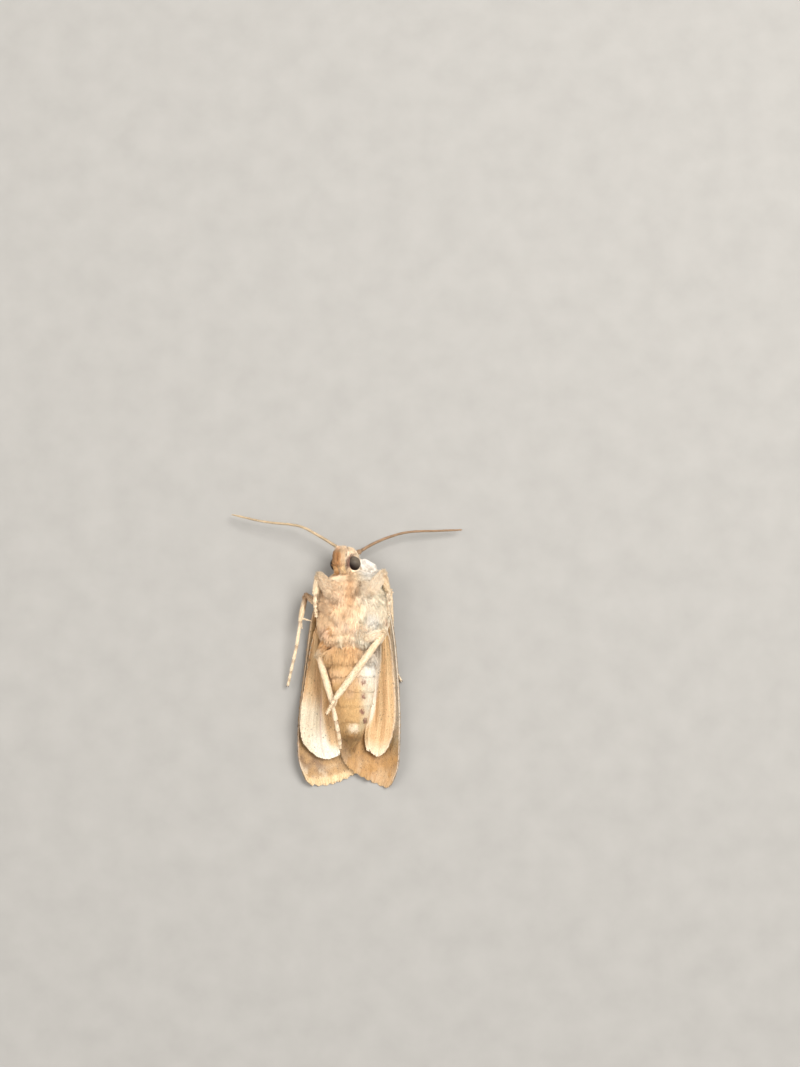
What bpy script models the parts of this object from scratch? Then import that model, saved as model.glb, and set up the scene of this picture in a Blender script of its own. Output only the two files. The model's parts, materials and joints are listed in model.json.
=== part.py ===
"""A life-size owlet moth lying on its back, as a still museum model.

The moth lies belly up on the floor with its head towards +Y and its own left side towards +X.
Its folded forewings and the top of its thorax rest on the floor, the hind wings lie on the
forewings, the abdomen lies between them and the legs are folded over the belly.
All sizes below are in millimetres; points are (x, y, z) with the floor at z = 0.
"""

import math

import bmesh
import bpy
import numpy as np
from mathutils import Matrix, Vector

MM = 0.001
GAP = 0.05  # clearance between neighbouring pieces

# Trunk: each body is an egg given by its front, middle and rear points.
THORAX_FRONT, THORAX_MIDDLE, THORAX_REAR = (0.3, 8.9, 2.4), (0.35, 4.7, 2.55), (0.1, 0.4, 3.1)
THORAX_HALF_WIDTH, THORAX_HALF_HEIGHT = 3.45, 2.65
COLLAR_FRONT, COLLAR_MIDDLE, COLLAR_REAR = (0.75, 10.1, 1.5), (0.75, 8.4, 1.5), (0.6, 6.6, 1.8)
COLLAR_HALF_WIDTH, COLLAR_HALF_HEIGHT = 2.15, 1.5

ABDOMEN_FRONT, ABDOMEN_MIDDLE, ABDOMEN_REAR = (0.1, 2.4, 3.15), (0.2, -3.0, 3.1), (0.25, -9.2, 1.95)
ABDOMEN_HALF_WIDTH, ABDOMEN_HALF_HEIGHT = 2.45, 2.0
ABDOMEN_SEGMENTS = 8
SEGMENT_FLARE = 0.035  # how far a segment's rear rim stands out, as a share of its radius

TEGULA_OUT, TEGULA_HALF_WIDTH, TEGULA_HALF_HEIGHT = 2.75, 0.9, 0.45
TEGULA_ROLL = math.radians(48)

# Head: turned about the long axis, so that it looks towards the moth's right.
HEAD_CENTRE = (-0.34, 9.65, 2.7)
HEAD_ROLL = math.radians(32)
HEAD_HALF_LENGTH, HEAD_HALF_WIDTH, HEAD_HALF_HEIGHT = 1.6, 1.3, 1.5
EYE_RADIUS, EYE_OUT, EYE_FORWARD, EYE_UP = 0.7, 0.97, 0.05, 0.15
PALP_OUT = 0.39  # each labial palp's distance from the head's middle plane

# Wings: solid sheets, with a trough between the two raised leading edges.
WING_THICKNESS = 0.5
TROUGH_START, TROUGH_WIDTH, TROUGH_RISE, TROUGH_POWER = 2.8, 2.2, 1.2, 1.6
HINGE_RISE = 1.5
OVERLAP_RAISE = WING_THICKNESS + GAP
HINDWING_LAYER = WING_THICKNESS + 3 * GAP
HINDWING_CROWN = 0.45

# Limbs
COXA_RADIUS, FEMUR_RADIUS, TIBIA_RADIUS, TARSUS_RADIUS = 0.6, 0.42, 0.32, 0.25
SPUR_RADIUS, SPUR_LENGTH = 0.2, 0.95
ANTENNA_BASE_RADIUS, ANTENNA_TIP_RADIUS, SCAPE_RADIUS = 0.26, 0.23, 0.36

CREAM, TAN, PALE = (0.78, 0.62, 0.42), (0.62, 0.4, 0.2), (0.85, 0.74, 0.58)
EYE_BROWN = (0.02, 0.01, 0.006)


# ---------------------------------------------------------------- curves and numbers


def through(points, count):
    """count points evenly along a smooth curve through the given ones, ends included."""
    knots = np.array(points, float)
    knots = np.vstack([2 * knots[0] - knots[1], knots, 2 * knots[-1] - knots[-2]])
    made = []
    for place in np.linspace(0, len(points) - 1, count):
        i = min(int(place), len(points) - 2)
        t = place - i
        a, b, c, d = knots[i : i + 4]
        made.append(b + 0.5 * t * (c - a + t * (2 * a - 5 * b + 4 * c - d + t * (3 * (b - c) + d - a))))
    return np.array(made)


def even(points, count):
    """count points along the same smooth curve, spaced evenly by length."""
    fine = through(points, 40 * len(points))
    steps = np.linalg.norm(np.diff(fine[:, :3], axis=0), axis=1)
    length = np.concatenate([[0], np.cumsum(steps)])
    places = np.linspace(0, length[-1], count)
    return np.column_stack([np.interp(places, length, fine[:, k]) for k in range(fine.shape[1])])


def ease(start, end, value):
    """0 before start, 1 after end, and a smooth step between them."""
    t = min(1.0, max(0.0, (value - start) / (end - start)))
    return t * t * (3 - 2 * t)


def egg_radius(t, widest, fore, aft):
    """Radius of an egg of radius 1 at share t of its length; fore and aft are how blunt its ends are."""
    if t < widest:
        return (1 - (1 - t / widest) ** fore) ** (1 / fore)
    return (1 - ((t - widest) / (1 - widest)) ** aft) ** (1 / aft)


# ---------------------------------------------------------------- meshes and objects


def clear_scene():
    for obj in list(bpy.data.objects):
        bpy.data.objects.remove(obj)


def finish_material(name, colour, roughness):
    made = bpy.data.materials.new(name)
    made.use_nodes = True
    shader = made.node_tree.nodes["Principled BSDF"]
    shader.inputs["Base Color"].default_value = (*colour, 1)
    shader.inputs["Roughness"].default_value = roughness
    made.diffuse_color = (*colour, 1)
    return made


def add_object(name, shape, material=None):
    """An object from a bmesh in millimetres, with its faces turned out and shaded smooth."""
    bmesh.ops.recalc_face_normals(shape, faces=shape.faces)
    mesh = bpy.data.meshes.new(name)
    shape.to_mesh(mesh)
    shape.free()
    mesh.shade_smooth()
    made = bpy.data.objects.new(name, mesh)
    bpy.context.scene.collection.objects.link(made)
    if material:
        made.data.materials.append(material)
    return made


def closed_rings(rings, first_pole, last_pole):
    """A closed bmesh over a row of rings, with a pole at each end."""
    shape = bmesh.new()
    rows = [[shape.verts.new(p) for p in ring] for ring in rings]
    sides = len(rows[0])
    for row, after in zip(rows, rows[1:]):
        for k in range(sides):
            shape.faces.new((row[k], row[(k + 1) % sides], after[(k + 1) % sides], after[k]))
    for pole, row in ((first_pole, rows[0]), (last_pole, rows[-1])):
        tip = shape.verts.new(pole)
        for k in range(sides):
            shape.faces.new((row[k], row[(k + 1) % sides], tip))
    return shape


def combine(target, operation, *others, solver="EXACT"):
    """Joins others to target, or cuts them from it, and removes them."""
    for other in others:
        modifier = target.modifiers.new(operation.title(), "BOOLEAN")
        modifier.operation = operation
        modifier.solver = solver
        modifier.object = other
    graph = bpy.context.evaluated_depsgraph_get()
    mesh = bpy.data.meshes.new_from_object(target.evaluated_get(graph))
    target.modifiers.clear()
    target.data = mesh
    for other in others:
        bpy.data.objects.remove(other)
    return target


# ---------------------------------------------------------------- trunk


def egg(name, spine, half_width, half_height, widest, fore, aft, rings=14, sides=22,
        roll=0.0, grow=0.0, flare=None, material=None):
    """An egg along a spine of three points, turned about +Y by roll, kept above the floor."""
    shares = flare[0] if flare else [0.5 - 0.5 * math.cos(math.pi * (k + 0.5) / rings) for k in range(rings)]
    scales = flare[1] if flare else [1.0] * len(shares)
    centres = through(spine, 101)
    made = []
    for share, scale in zip(shares, scales):
        centre = centres[round(100 * share)]
        radius = egg_radius(share, widest, fore, aft) * scale
        ring = []
        for k in range(sides):
            angle = 2 * math.pi * k / sides
            across = (half_width * radius + grow) * math.cos(angle)
            up = (half_height * radius + grow) * math.sin(angle)
            x = centre[0] + across * math.cos(roll) - up * math.sin(roll)
            z = centre[2] + across * math.sin(roll) + up * math.cos(roll)
            ring.append((x, centre[1], max(z, -grow)))
        made.append(ring)
    front = Vector(spine[0]) + Vector((0, grow, 0))
    rear = Vector(spine[-1]) - Vector((0, grow, 0))
    return add_object(name, closed_rings(made, front, rear), material)


def thorax(name, grow=0.0, material=None):
    """The thorax in its coat, with the collar of long scales behind the head."""
    body = egg(name, (THORAX_FRONT, THORAX_MIDDLE, THORAX_REAR), THORAX_HALF_WIDTH, THORAX_HALF_HEIGHT,
               0.5, 3.0, 2.4, grow=grow, material=material)
    collar = egg("collar", (COLLAR_FRONT, COLLAR_MIDDLE, COLLAR_REAR), COLLAR_HALF_WIDTH, COLLAR_HALF_HEIGHT,
                 0.5, 2.0, 2.0, rings=10, sides=18, grow=grow)
    return combine(body, "UNION", collar)


def abdomen(name, grow=0.0, material=None):
    """The abdomen, each of whose rings flares a little over the next."""
    shares, scales = [], []
    for segment in range(ABDOMEN_SEGMENTS):
        for part, flare in ((0.08, 0.0), (0.9, 1.0)):
            shares.append((segment + part) / ABDOMEN_SEGMENTS)
            scales.append(1 + SEGMENT_FLARE * (flare - 0.5))
    return egg(name, (ABDOMEN_FRONT, ABDOMEN_MIDDLE, ABDOMEN_REAR), ABDOMEN_HALF_WIDTH, ABDOMEN_HALF_HEIGHT,
               0.36, 3.0, 1.6, sides=20, grow=grow, flare=(shares, scales), material=material)


# ---------------------------------------------------------------- head


def on_head(out, forward, up):
    """A point of the turned head: out to the moth's left, forward, and up from its crown to its chin."""
    return Vector((
        HEAD_CENTRE[0] + out * math.cos(HEAD_ROLL) - up * math.sin(HEAD_ROLL),
        HEAD_CENTRE[1] + forward,
        HEAD_CENTRE[2] + out * math.sin(HEAD_ROLL) + up * math.cos(HEAD_ROLL),
    ))


def head(name, grow=0.0, material=None):
    x, y, z = HEAD_CENTRE
    spine = ((x, y + HEAD_HALF_LENGTH, z), HEAD_CENTRE, (x, y - HEAD_HALF_LENGTH, z))
    return egg(name, spine, HEAD_HALF_WIDTH, HEAD_HALF_HEIGHT, 0.5, 2.4, 2.4, rings=12, sides=20,
               roll=HEAD_ROLL, grow=grow, material=material)


def eye(name, side, grow=0.0, material=None):
    shape = bmesh.new()
    bmesh.ops.create_icosphere(shape, subdivisions=2 if grow else 3, radius=EYE_RADIUS + grow)
    bmesh.ops.translate(shape, vec=on_head(side * EYE_OUT, EYE_FORWARD, EYE_UP), verts=shape.verts)
    return add_object(name, shape, material)


def palp(name, side, material):
    """A labial palp, which curves up over the face from the chin."""
    path = [
        (*on_head(side * PALP_OUT, -1.0, 1.1), 0.26),
        (*on_head(side * PALP_OUT, -0.4, 1.55), 0.34),
        (*on_head(side * PALP_OUT, 0.5, 1.6), 0.35),
        (*on_head(side * PALP_OUT, 1.15, 1.25), 0.31),
        (*on_head(side * PALP_OUT * 0.85, 1.5, 0.75), 0.26),
    ]
    return tube(name, path, rings=10, sides=10, material=material)


# ---------------------------------------------------------------- wings


def wing_floor(x, y, raised=False):
    """Height of a forewing's outer face at (x, y): flat on the floor along the middle, rising towards
    the leading edge and the hinge. The raised wing steps up over the other one."""
    out = abs(x)
    height = TROUGH_RISE * (max(0.0, out - TROUGH_START) / TROUGH_WIDTH) ** TROUGH_POWER
    height += HINGE_RISE * ease(-1.0, 5.0, y) * ease(2.2, 3.6, out)
    if raised:
        height += OVERLAP_RAISE * (1 - ease(1.5, 2.6, x))
    return height


def wing_slope(x, y, raised):
    step = 0.01
    return (
        (wing_floor(x + step, y, raised) - wing_floor(x - step, y, raised)) / (2 * step),
        (wing_floor(x, y + step, raised) - wing_floor(x, y - step, raised)) / (2 * step),
    )


def wing(name, leading, outer, trailing, root, raised=False, layer=0.0, crown=0.0, along=22, across=9,
         material=None):
    """A wing: a solid sheet over the patch between its four edges. The leading and the trailing edge
    run from the root outwards; layer is how far it lies above the forewing's outer face."""
    leading, trailing = even(leading, along), even(trailing, along)
    outer, root = even(outer, across), even(root, across)
    shape = bmesh.new()
    lower, upper = [], []
    for i in range(along):
        s = i / (along - 1)
        low_row, high_row = [], []
        for j in range(across):
            t = j / (across - 1)
            corners = (
                (1 - s) * ((1 - t) * leading[0] + t * trailing[0])
                + s * ((1 - t) * leading[-1] + t * trailing[-1])
            )
            x, y = (1 - t) * leading[i] + t * trailing[i] + (1 - s) * root[j] + s * outer[j] - corners
            slope_x, slope_y = wing_slope(x, y, raised)
            steep = math.sqrt(1 + slope_x**2 + slope_y**2)
            bulge = crown * math.sin(math.pi * s) * math.sin(math.pi * t)
            z = wing_floor(x, y, raised) + layer * steep + bulge
            normal = Vector((-slope_x, -slope_y, 1)) / steep
            low_row.append(shape.verts.new((x, y, z)))
            high_row.append(shape.verts.new(Vector((x, y, z)) + normal * WING_THICKNESS))
        lower.append(low_row)
        upper.append(high_row)
    for i in range(along - 1):
        for j in range(across - 1):
            shape.faces.new((lower[i][j], lower[i][j + 1], lower[i + 1][j + 1], lower[i + 1][j]))
            shape.faces.new((upper[i][j], upper[i + 1][j], upper[i + 1][j + 1], upper[i][j + 1]))
    rim = [(i, 0) for i in range(along)] + [(along - 1, j) for j in range(1, across)]
    rim += [(i, across - 1) for i in reversed(range(along - 1))]
    rim += [(0, j) for j in reversed(range(1, across - 1))]
    for (i, j), (k, m) in zip(rim, rim[1:] + rim[:1]):
        shape.faces.new((lower[i][j], upper[i][j], upper[k][m], lower[k][m]))
    return add_object(name, shape, material)


def forewing_left(material):
    return wing(
        "forewing_left",
        leading=[(3.7, 5.6), (4.1, 4.2), (4.45, 2), (4.78, -1.5), (4.98, -6), (4.85, -10.3), (4.3, -12.2)],
        outer=[(4.3, -12.2), (3.7, -12.9), (2.5, -12.5), (0.8, -11.6), (-0.3, -10.7), (-0.95, -9.5)],
        trailing=[(3.0, 3.2), (1.1, 1.0), (0.1, -2), (-0.6, -6), (-0.95, -9.5)],
        root=[(3.7, 5.6), (3.35, 4.4), (3.0, 3.2)],
        raised=True, material=material,
    )


def forewing_right(material):
    return wing(
        "forewing_right",
        leading=[(-3.3, 5.8), (-3.8, 4.2), (-4.15, 2), (-4.6, -1.5), (-5.1, -6), (-5.1, -9.8), (-4.5, -11.8)],
        outer=[(-4.5, -11.8), (-3.9, -12.6), (-2.6, -12.7), (-1, -12.3), (0.6, -11.4), (1.45, -10.2)],
        trailing=[(-2.5, 3.4), (-0.9, 1.2), (0.1, -1.2), (0.9, -5.5), (1.45, -10.2)],
        root=[(-3.3, 5.8), (-2.9, 4.6), (-2.5, 3.4)],
        material=material,
    )


def hindwing_left(material):
    return wing(
        "hindwing_left",
        leading=[(3.3, 3.8), (4.0, 1.8), (4.4, -2), (4.55, -5.5), (4.15, -8), (3.45, -9.3)],
        outer=[(3.45, -9.3), (2.75, -9.75), (2.05, -9.3)],
        trailing=[(2.8, 2.4), (2.3, -1), (2.15, -5), (1.75, -7.6), (2.05, -9.3)],
        root=[(3.3, 3.8), (3.05, 3.1), (2.8, 2.4)],
        raised=True, layer=HINDWING_LAYER, crown=HINDWING_CROWN, across=7, material=material,
    )


def hindwing_right(material):
    return wing(
        "hindwing_right",
        leading=[(-3.1, 4.0), (-3.9, 1.2), (-4.5, -2.5), (-4.95, -6), (-4.75, -8), (-4.1, -9)],
        outer=[(-4.1, -9), (-3.2, -9.75), (-2.2, -10), (-1.25, -9.7)],
        trailing=[(-2.5, 2.6), (-1.9, -1), (-1.6, -5.5), (-1.25, -9.7)],
        root=[(-3.1, 4.0), (-2.8, 3.3), (-2.5, 2.6)],
        layer=HINDWING_LAYER, crown=HINDWING_CROWN, across=7, material=material,
    )


def tegula(name, side, grow=0.0, material=None):
    """The leaf-shaped plate of scales that covers a wing's root."""
    (x, y, z), out = THORAX_MIDDLE, side * TEGULA_OUT
    x += out
    spine = ((x - side * 0.6, y + 3.1, z - 1.2), (x, y + 1.3, z - 1.5), (x, y - 0.5, z - 1.5))
    return egg(name, spine, TEGULA_HALF_WIDTH, TEGULA_HALF_HEIGHT, 0.45, 2.0, 1.6, rings=9, sides=14,
               roll=side * TEGULA_ROLL, grow=grow, material=material)


# ---------------------------------------------------------------- limbs


def tube(name, path, rings, sides, material=None):
    """A round tapered limb with domed ends along a smooth curve through (x, y, z, radius) points."""
    stations = even(path, rings)
    points = [Vector(row[:3]) for row in stations]
    tangents = [(points[min(i + 1, rings - 1)] - points[max(i - 1, 0)]).normalized() for i in range(rings)]
    side = tangents[0].orthogonal().normalized()
    loops = []
    for i, (point, tangent) in enumerate(zip(points, tangents)):
        side = (side - tangent * side.dot(tangent)).normalized()
        up = tangent.cross(side)
        angles = [2 * math.pi * k / sides for k in range(sides)]
        loops.append([(point, side * math.cos(a) + up * math.sin(a), stations[i][3]) for a in angles])
    made = [[centre + out * radius for centre, out, radius in loop] for loop in loops]
    for end, direction in ((0, -tangents[0]), (rings - 1, tangents[-1])):
        radius = stations[end][3]
        dome = [centre + direction * radius * 0.6 + out * radius * 0.75 for centre, out, _ in loops[end]]
        made.insert(0, dome) if end == 0 else made.append(dome)
    poles = (points[0] - tangents[0] * stations[0][3], points[-1] + tangents[-1] * stations[-1][3])
    return add_object(name, closed_rings(made, *poles), material)


def antenna(name, base, points, material):
    """A feeler: a thick first joint on the head and a long thread."""
    scape = tube(name, [(*base, SCAPE_RADIUS), (*points[0], SCAPE_RADIUS * 0.85)], 3, 8, material)
    radii = np.linspace(ANTENNA_BASE_RADIUS, ANTENNA_TIP_RADIUS, len(points))
    thread = tube("thread", [(*p, r) for p, r in zip(points, radii)], 24, 6)
    return combine(scape, "UNION", thread)


def leg(name, coxa, hip, knee, ankle, toes, material, coxa_radius=COXA_RADIUS, spurs=()):
    """A leg: coxa, femur, tibia and tarsus, with spurs at shares of the tibia's length.

    coxa is the point where it leaves the trunk; toes are the tarsus's points after the ankle."""
    whole = tube(name, [(*coxa, coxa_radius * 0.9), (*hip, coxa_radius * 0.7)], 4, 8, material)
    thigh = (Vector(hip) + Vector(knee)) / 2
    end = FEMUR_RADIUS * 0.8
    femur = tube("femur", [(*hip, end), (*thigh, FEMUR_RADIUS), (*knee, end)], 5, 8)
    tibia = tube("tibia", [(*knee, TIBIA_RADIUS * 0.95), (*ankle, TIBIA_RADIUS)], 4, 8)
    radii = np.linspace(TARSUS_RADIUS * 1.05, TARSUS_RADIUS, len(toes) + 1)
    tarsus = tube("tarsus", [(*p, r) for p, r in zip((ankle, *toes), radii)], 7, 7)
    extras = []
    for share, direction in spurs:
        start = Vector(knee).lerp(Vector(ankle), share)
        tip = start + Vector(direction).normalized() * (SPUR_LENGTH + TIBIA_RADIUS)
        extras.append(tube("spur", [(*start, SPUR_RADIUS), (*tip, SPUR_RADIUS * 0.8)], 3, 6))
    return combine(whole, "UNION", femur, tibia, tarsus, *extras)


def legs(material):
    """The six legs, by the moth's own sides. The hind pair cross on the belly."""
    return [
        leg("leg_fore_right", (-1.0, 7.9, 4.1), (-1.25, 6.2, 5.05), (-3.35, 8.6, 3.85), (-3.65, 6.7, 3.75),
            [(-3.75, 5.4, 3.65), (-3.75, 4.2, 3.55)], material),
        leg("leg_fore_left", (0.95, 8.1, 4.1), (1.4, 6.3, 5.05), (3.45, 8.9, 3.7), (3.75, 7.1, 3.6),
            [(3.95, 5.7, 3.4), (3.95, 4.4, 3.3)], material),
        leg("leg_mid_right", (-1.3, 4.6, 4.3), (-2.9, 5.2, 3.2), (-4.4, 6.4, 2.4), (-4.95, 3.9, 2.1),
            [(-5.3, 1.5, 1.7), (-5.8, -0.7, 1.2), (-6.25, -2.6, 0.7)], material,
            spurs=((0.93, (0.9, -0.25, 0.1)), (0.93, (0.1, -1.0, -0.35)))),
        leg("leg_mid_left", (1.5, 4.6, 4.3), (3.3, 6.1, 3.0), (4.0, 6.9, 1.75), (4.15, 3.0, 0.7),
            [(4.3, 0.6, 0.36), (4.55, -1.0, 0.3), (5.1, -2.15, 0.3)], material),
        leg("leg_hind_right", (-1.3, 3.1, 4.5), (-1.7, 1.7, 4.3), (-3.05, 0.3, 4.3), (-1.65, -4.2, 4.85),
            [(-1.3, -6.0, 4.5), (-1.05, -7.4, 3.9), (-0.95, -8.6, 3.2)], material,
            spurs=((0.5, (0.75, -0.6, 0.35)), (0.95, (-0.5, -0.85, 0.1)))),
        leg("leg_hind_left", (0.9, 3.1, 4.5), (1.3, 1.8, 4.9), (3.55, 2.6, 5.4), (-1.3, -3.75, 5.7),
            [(-1.75, -4.5, 5.7), (-2.1, -5.2, 5.6)], material,
            spurs=((0.5, (-0.2, -0.95, 0.3)), (0.95, (0.25, -0.95, 0.2)))),
    ]


# ---------------------------------------------------------------- the whole moth


def build():
    clear_scene()
    coat = finish_material("coat", CREAM, 0.85)
    belly = finish_material("belly", TAN, 0.8)
    leg_scales = finish_material("leg_scales", PALE, 0.7)
    wing_scales = finish_material("wing_scales", TAN, 0.75)
    wing_pale = finish_material("wing_pale", PALE, 0.6)
    eye_shine = finish_material("eye_shine", EYE_BROWN, 0.2)

    thorax("thorax", material=coat)
    combine(abdomen("abdomen", material=belly), "DIFFERENCE", thorax("cutter", grow=GAP))
    combine(head("head", material=coat), "DIFFERENCE", thorax("cutter", grow=GAP),
            eye("cutter", 1, grow=GAP), eye("cutter", -1, grow=GAP))

    for side, word in ((1, "left"), (-1, "right")):
        combine(eye(f"eye_{word}", side, material=eye_shine), "DIFFERENCE", thorax("cutter", grow=GAP))
        combine(palp(f"palp_{word}", side, coat), "DIFFERENCE", head("cutter", grow=GAP),
                thorax("cutter", grow=GAP))
        combine(tegula(f"tegula_{word}", side, material=coat), "DIFFERENCE", thorax("cutter", grow=GAP))

    for sheet, side in (
        (forewing_left(wing_scales), 1),
        (forewing_right(wing_scales), -1),
        (hindwing_left(wing_pale), 1),
        (hindwing_right(wing_pale), -1),
    ):
        # EXACT leaves these thin sheets open.
        combine(sheet, "DIFFERENCE", tegula("cutter", side, grow=GAP), thorax("cutter", grow=GAP),
                solver="MANIFOLD")

    left_feeler = antenna("antenna_left", on_head(0.5, 0.75, -0.6), [
        (1.1, 10.8, 2.0), (2.25, 11.5, 1.8), (4.0, 12.25, 1.6), (6.0, 12.75, 1.4), (9.2, 12.9, 1.1),
        (11.1, 13.0, 0.9),
    ], leg_scales)
    right_feeler = antenna("antenna_right", on_head(-0.5, 0.75, -0.6), [
        (-1.3, 11.2, 2.0), (-3.3, 12.4, 2.3), (-5.2, 13.3, 2.3), (-8.6, 13.75, 1.8), (-11.75, 14.5, 1.2),
    ], leg_scales)
    for feeler in (left_feeler, right_feeler):
        combine(feeler, "DIFFERENCE", head("cutter", grow=GAP), thorax("cutter", grow=GAP))

    for limb in legs(leg_scales):
        combine(limb, "DIFFERENCE", thorax("cutter", grow=GAP))
    place_on_floor()


def place_on_floor():
    """Turns millimetres into metres, with the middle of the moth's footprint at the origin."""
    meshes = [obj.data for obj in bpy.data.objects]
    points = np.array([vertex.co for mesh in meshes for vertex in mesh.vertices])
    low, high = points.min(axis=0), points.max(axis=0)
    origin = Vector(((low[0] + high[0]) / 2, (low[1] + high[1]) / 2, low[2]))
    for mesh in meshes:
        mesh.transform(Matrix.Scale(MM, 4) @ Matrix.Translation(-origin))


build()
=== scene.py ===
"""The looks of the owlet moth that lies on its back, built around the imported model.

Shapes are worked out in millimetres in the moth's own frame: +X is its left side, +Y its head end and
+Z up, from its back to its belly. Its floor is z = 0. add_mesh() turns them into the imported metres.
"""

import functools
import itertools
import json
import math

import bmesh
import bpy
import numpy as np
from mathutils import Matrix, Vector
from mathutils.kdtree import KDTree

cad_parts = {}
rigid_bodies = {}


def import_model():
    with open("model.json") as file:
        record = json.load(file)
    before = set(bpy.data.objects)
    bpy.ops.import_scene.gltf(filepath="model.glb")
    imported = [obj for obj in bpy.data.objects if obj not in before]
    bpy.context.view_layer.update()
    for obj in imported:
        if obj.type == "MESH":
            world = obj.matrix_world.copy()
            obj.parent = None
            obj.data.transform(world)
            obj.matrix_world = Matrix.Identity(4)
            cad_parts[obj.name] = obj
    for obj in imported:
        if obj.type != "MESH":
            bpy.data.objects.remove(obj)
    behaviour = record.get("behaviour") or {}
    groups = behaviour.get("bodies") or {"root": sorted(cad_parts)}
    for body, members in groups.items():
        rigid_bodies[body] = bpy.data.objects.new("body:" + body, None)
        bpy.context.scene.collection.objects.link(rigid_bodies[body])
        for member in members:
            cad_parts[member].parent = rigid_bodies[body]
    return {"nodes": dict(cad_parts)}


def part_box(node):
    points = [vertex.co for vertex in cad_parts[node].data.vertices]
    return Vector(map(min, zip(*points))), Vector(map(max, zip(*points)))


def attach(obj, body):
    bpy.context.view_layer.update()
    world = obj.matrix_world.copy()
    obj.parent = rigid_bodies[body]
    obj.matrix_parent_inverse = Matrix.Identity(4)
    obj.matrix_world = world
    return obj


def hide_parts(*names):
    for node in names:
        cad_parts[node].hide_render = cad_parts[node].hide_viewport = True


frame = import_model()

MM = 0.001
SEED = 20
PATH_POINTS = 200  # along a limb's middle line or a wing's edge
FINE_STEPS = 40  # between two given places of a smooth path

# ------------------------------------------------------------------ sizes, in millimetres

# The head is turned about the long axis, so that it looks towards the moth's right.
HEAD_CENTRE, HEAD_ROLL = np.array((-0.34, 9.65, 2.7)), math.radians(32)
EYE_RADIUS, EYE_OUT, EYE_FORWARD, EYE_UP = 0.74, 0.93, -0.2, 0.2
SOLID_EYE = (0.97, 0.05, 0.15)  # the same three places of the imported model's rougher eye
FACET_HEIGHT = 0.006
PALP_OUT = 0.39
NOTCH_X = -0.32  # between the two tufts of the face

SKIN_VOXEL = 0.085
SKIN_JOIN = 0.06  # how far the solids grow before they are made one skin
THORAX_COAT, HEAD_COAT, ABDOMEN_COAT, TAIL_COAT = 0.26, 0.12, 0.08, 0.45
NECK_Y, WAIST_Y, TAIL_Y = 8.35, 0.9, -6.2
ABDOMEN_Y, ABDOMEN_END_Y, ABDOMEN_SEGMENTS = 2.4, -9.2, 8
TRUNK_X, TRUNK_Z, TRUNK_REAR_Y, TRUNK_LENGTH = 0.2, 2.6, -10.0, 22.0  # of its unwrap
SEGMENT_STEP = 0.01  # how far a segment's rear rim stands above the next one's front
LOWEST_SKIN, LOWEST_TUFT = 0.04, 0.03  # above the floor

# Wings: the outer face of a forewing rests on the floor, and rises to the leading edge and hinge.
TROUGH_START, TROUGH_WIDTH, TROUGH_RISE, TROUGH_POWER = 2.8, 2.2, 1.2, 1.6
HINGE_RISE, OVERLAP_RAISE = 1.5, 0.55
FOREWING_LIFT, HINDWING_LIFT = 0.1, 0.8  # from the outer face to the middle of each sheet
SHEET_THICKNESS, COSTA_THICKNESS = 0.07, 0.26
VEIN_HEIGHT, VEIN_WIDTH = 0.035, 0.014
FRINGE_LENGTH, HIND_FRINGE_LENGTH = 0.95, 0.6

TARSUS_RADIUS = 0.14
SPUR_RADIUS, SPUR_LENGTH = 0.075, 1.0
ANTENNA_BASE_RADIUS, ANTENNA_TIP_RADIUS, ANTENNA_RINGS = 0.15, 0.085, 62

DOME_RINGS, DOME_TIP = 5, 0.06  # rings over a limb's round end, and how small the last one is
# Painted shade: coat() darkens each tuft towards its root, and this makes that painted shade redder.
DEEP_HUE = np.array((0.7, 1.1, 1.5))  # a tuft is redder where it is darker
BAKE_PATCH = 0.003  # how wide a tuft's patch is on the unwrap
MOST_TRIANGLES = 190_000  # in one piece of the coat

# ------------------------------------------------------------------ colours, linear

CREAM, PALE_CREAM, BUFF = (0.88, 0.68, 0.46), (0.95, 0.83, 0.65), (0.72, 0.50, 0.29)
TAN, ORANGE_TAN, BROWN = (0.70, 0.45, 0.23), (0.80, 0.52, 0.25), (0.30, 0.17, 0.08)
DARK_BROWN, GREY_BUFF, WHITE = (0.10, 0.055, 0.03), (0.60, 0.50, 0.42), (0.94, 0.92, 0.87)
BACK_BUFF, LILAC_WHITE, PINK_CREAM = (0.48, 0.35, 0.22), (0.82, 0.80, 0.77), (0.95, 0.73, 0.53)
LEG_CREAM, PALP_BROWN, WARM_WHITE = (0.92, 0.76, 0.53), (0.62, 0.32, 0.13), (0.98, 0.89, 0.76)
CHEEK_SHADE, EYE_RIM_SHADE = (0.2, 0.11, 0.05), (0.16, 0.07, 0.05)

# ------------------------------------------------------------------ numbers and curves


def ease(start, end, value):
    """0 before start, 1 after end, and a smooth step between them."""
    t = np.clip((value - start) / (end - start), 0.0, 1.0)
    return t * t * (3 - 2 * t)


def unit(vectors):
    return vectors / np.maximum(np.linalg.norm(vectors, axis=-1, keepdims=True), 1e-9)


def flat_to(vectors, normals):
    """The unit vectors with their part along the normals taken out."""
    return unit(vectors - normals * np.sum(vectors * normals, axis=-1, keepdims=True))


def peak(values, middle, width):
    """1 where a value is at the middle, falling softly to 0 on both sides."""
    return np.exp(-(((values - middle) / width) ** 2))


def distance(points, place):
    return np.linalg.norm(points - place, axis=1)


def path_length(path):
    return np.linalg.norm(np.diff(path, axis=0), axis=1).sum()


def mix(first, second, share):
    """Colours from first to second, by a share for each point."""
    share = np.asarray(share)[:, None]
    return np.asarray(first) * (1 - share) + np.asarray(second) * share


def layered(colour, *layers):
    """The colour under these layers, each a colour and its share for each point."""
    for paint, share in layers:
        colour = mix(colour, paint, share)
    return colour


def tree_of(points):
    """A tree that finds the nearest of the points."""
    tree = KDTree(len(points))
    for place, point in enumerate(points):
        tree.insert(point, place)
    tree.balance()
    return tree


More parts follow.
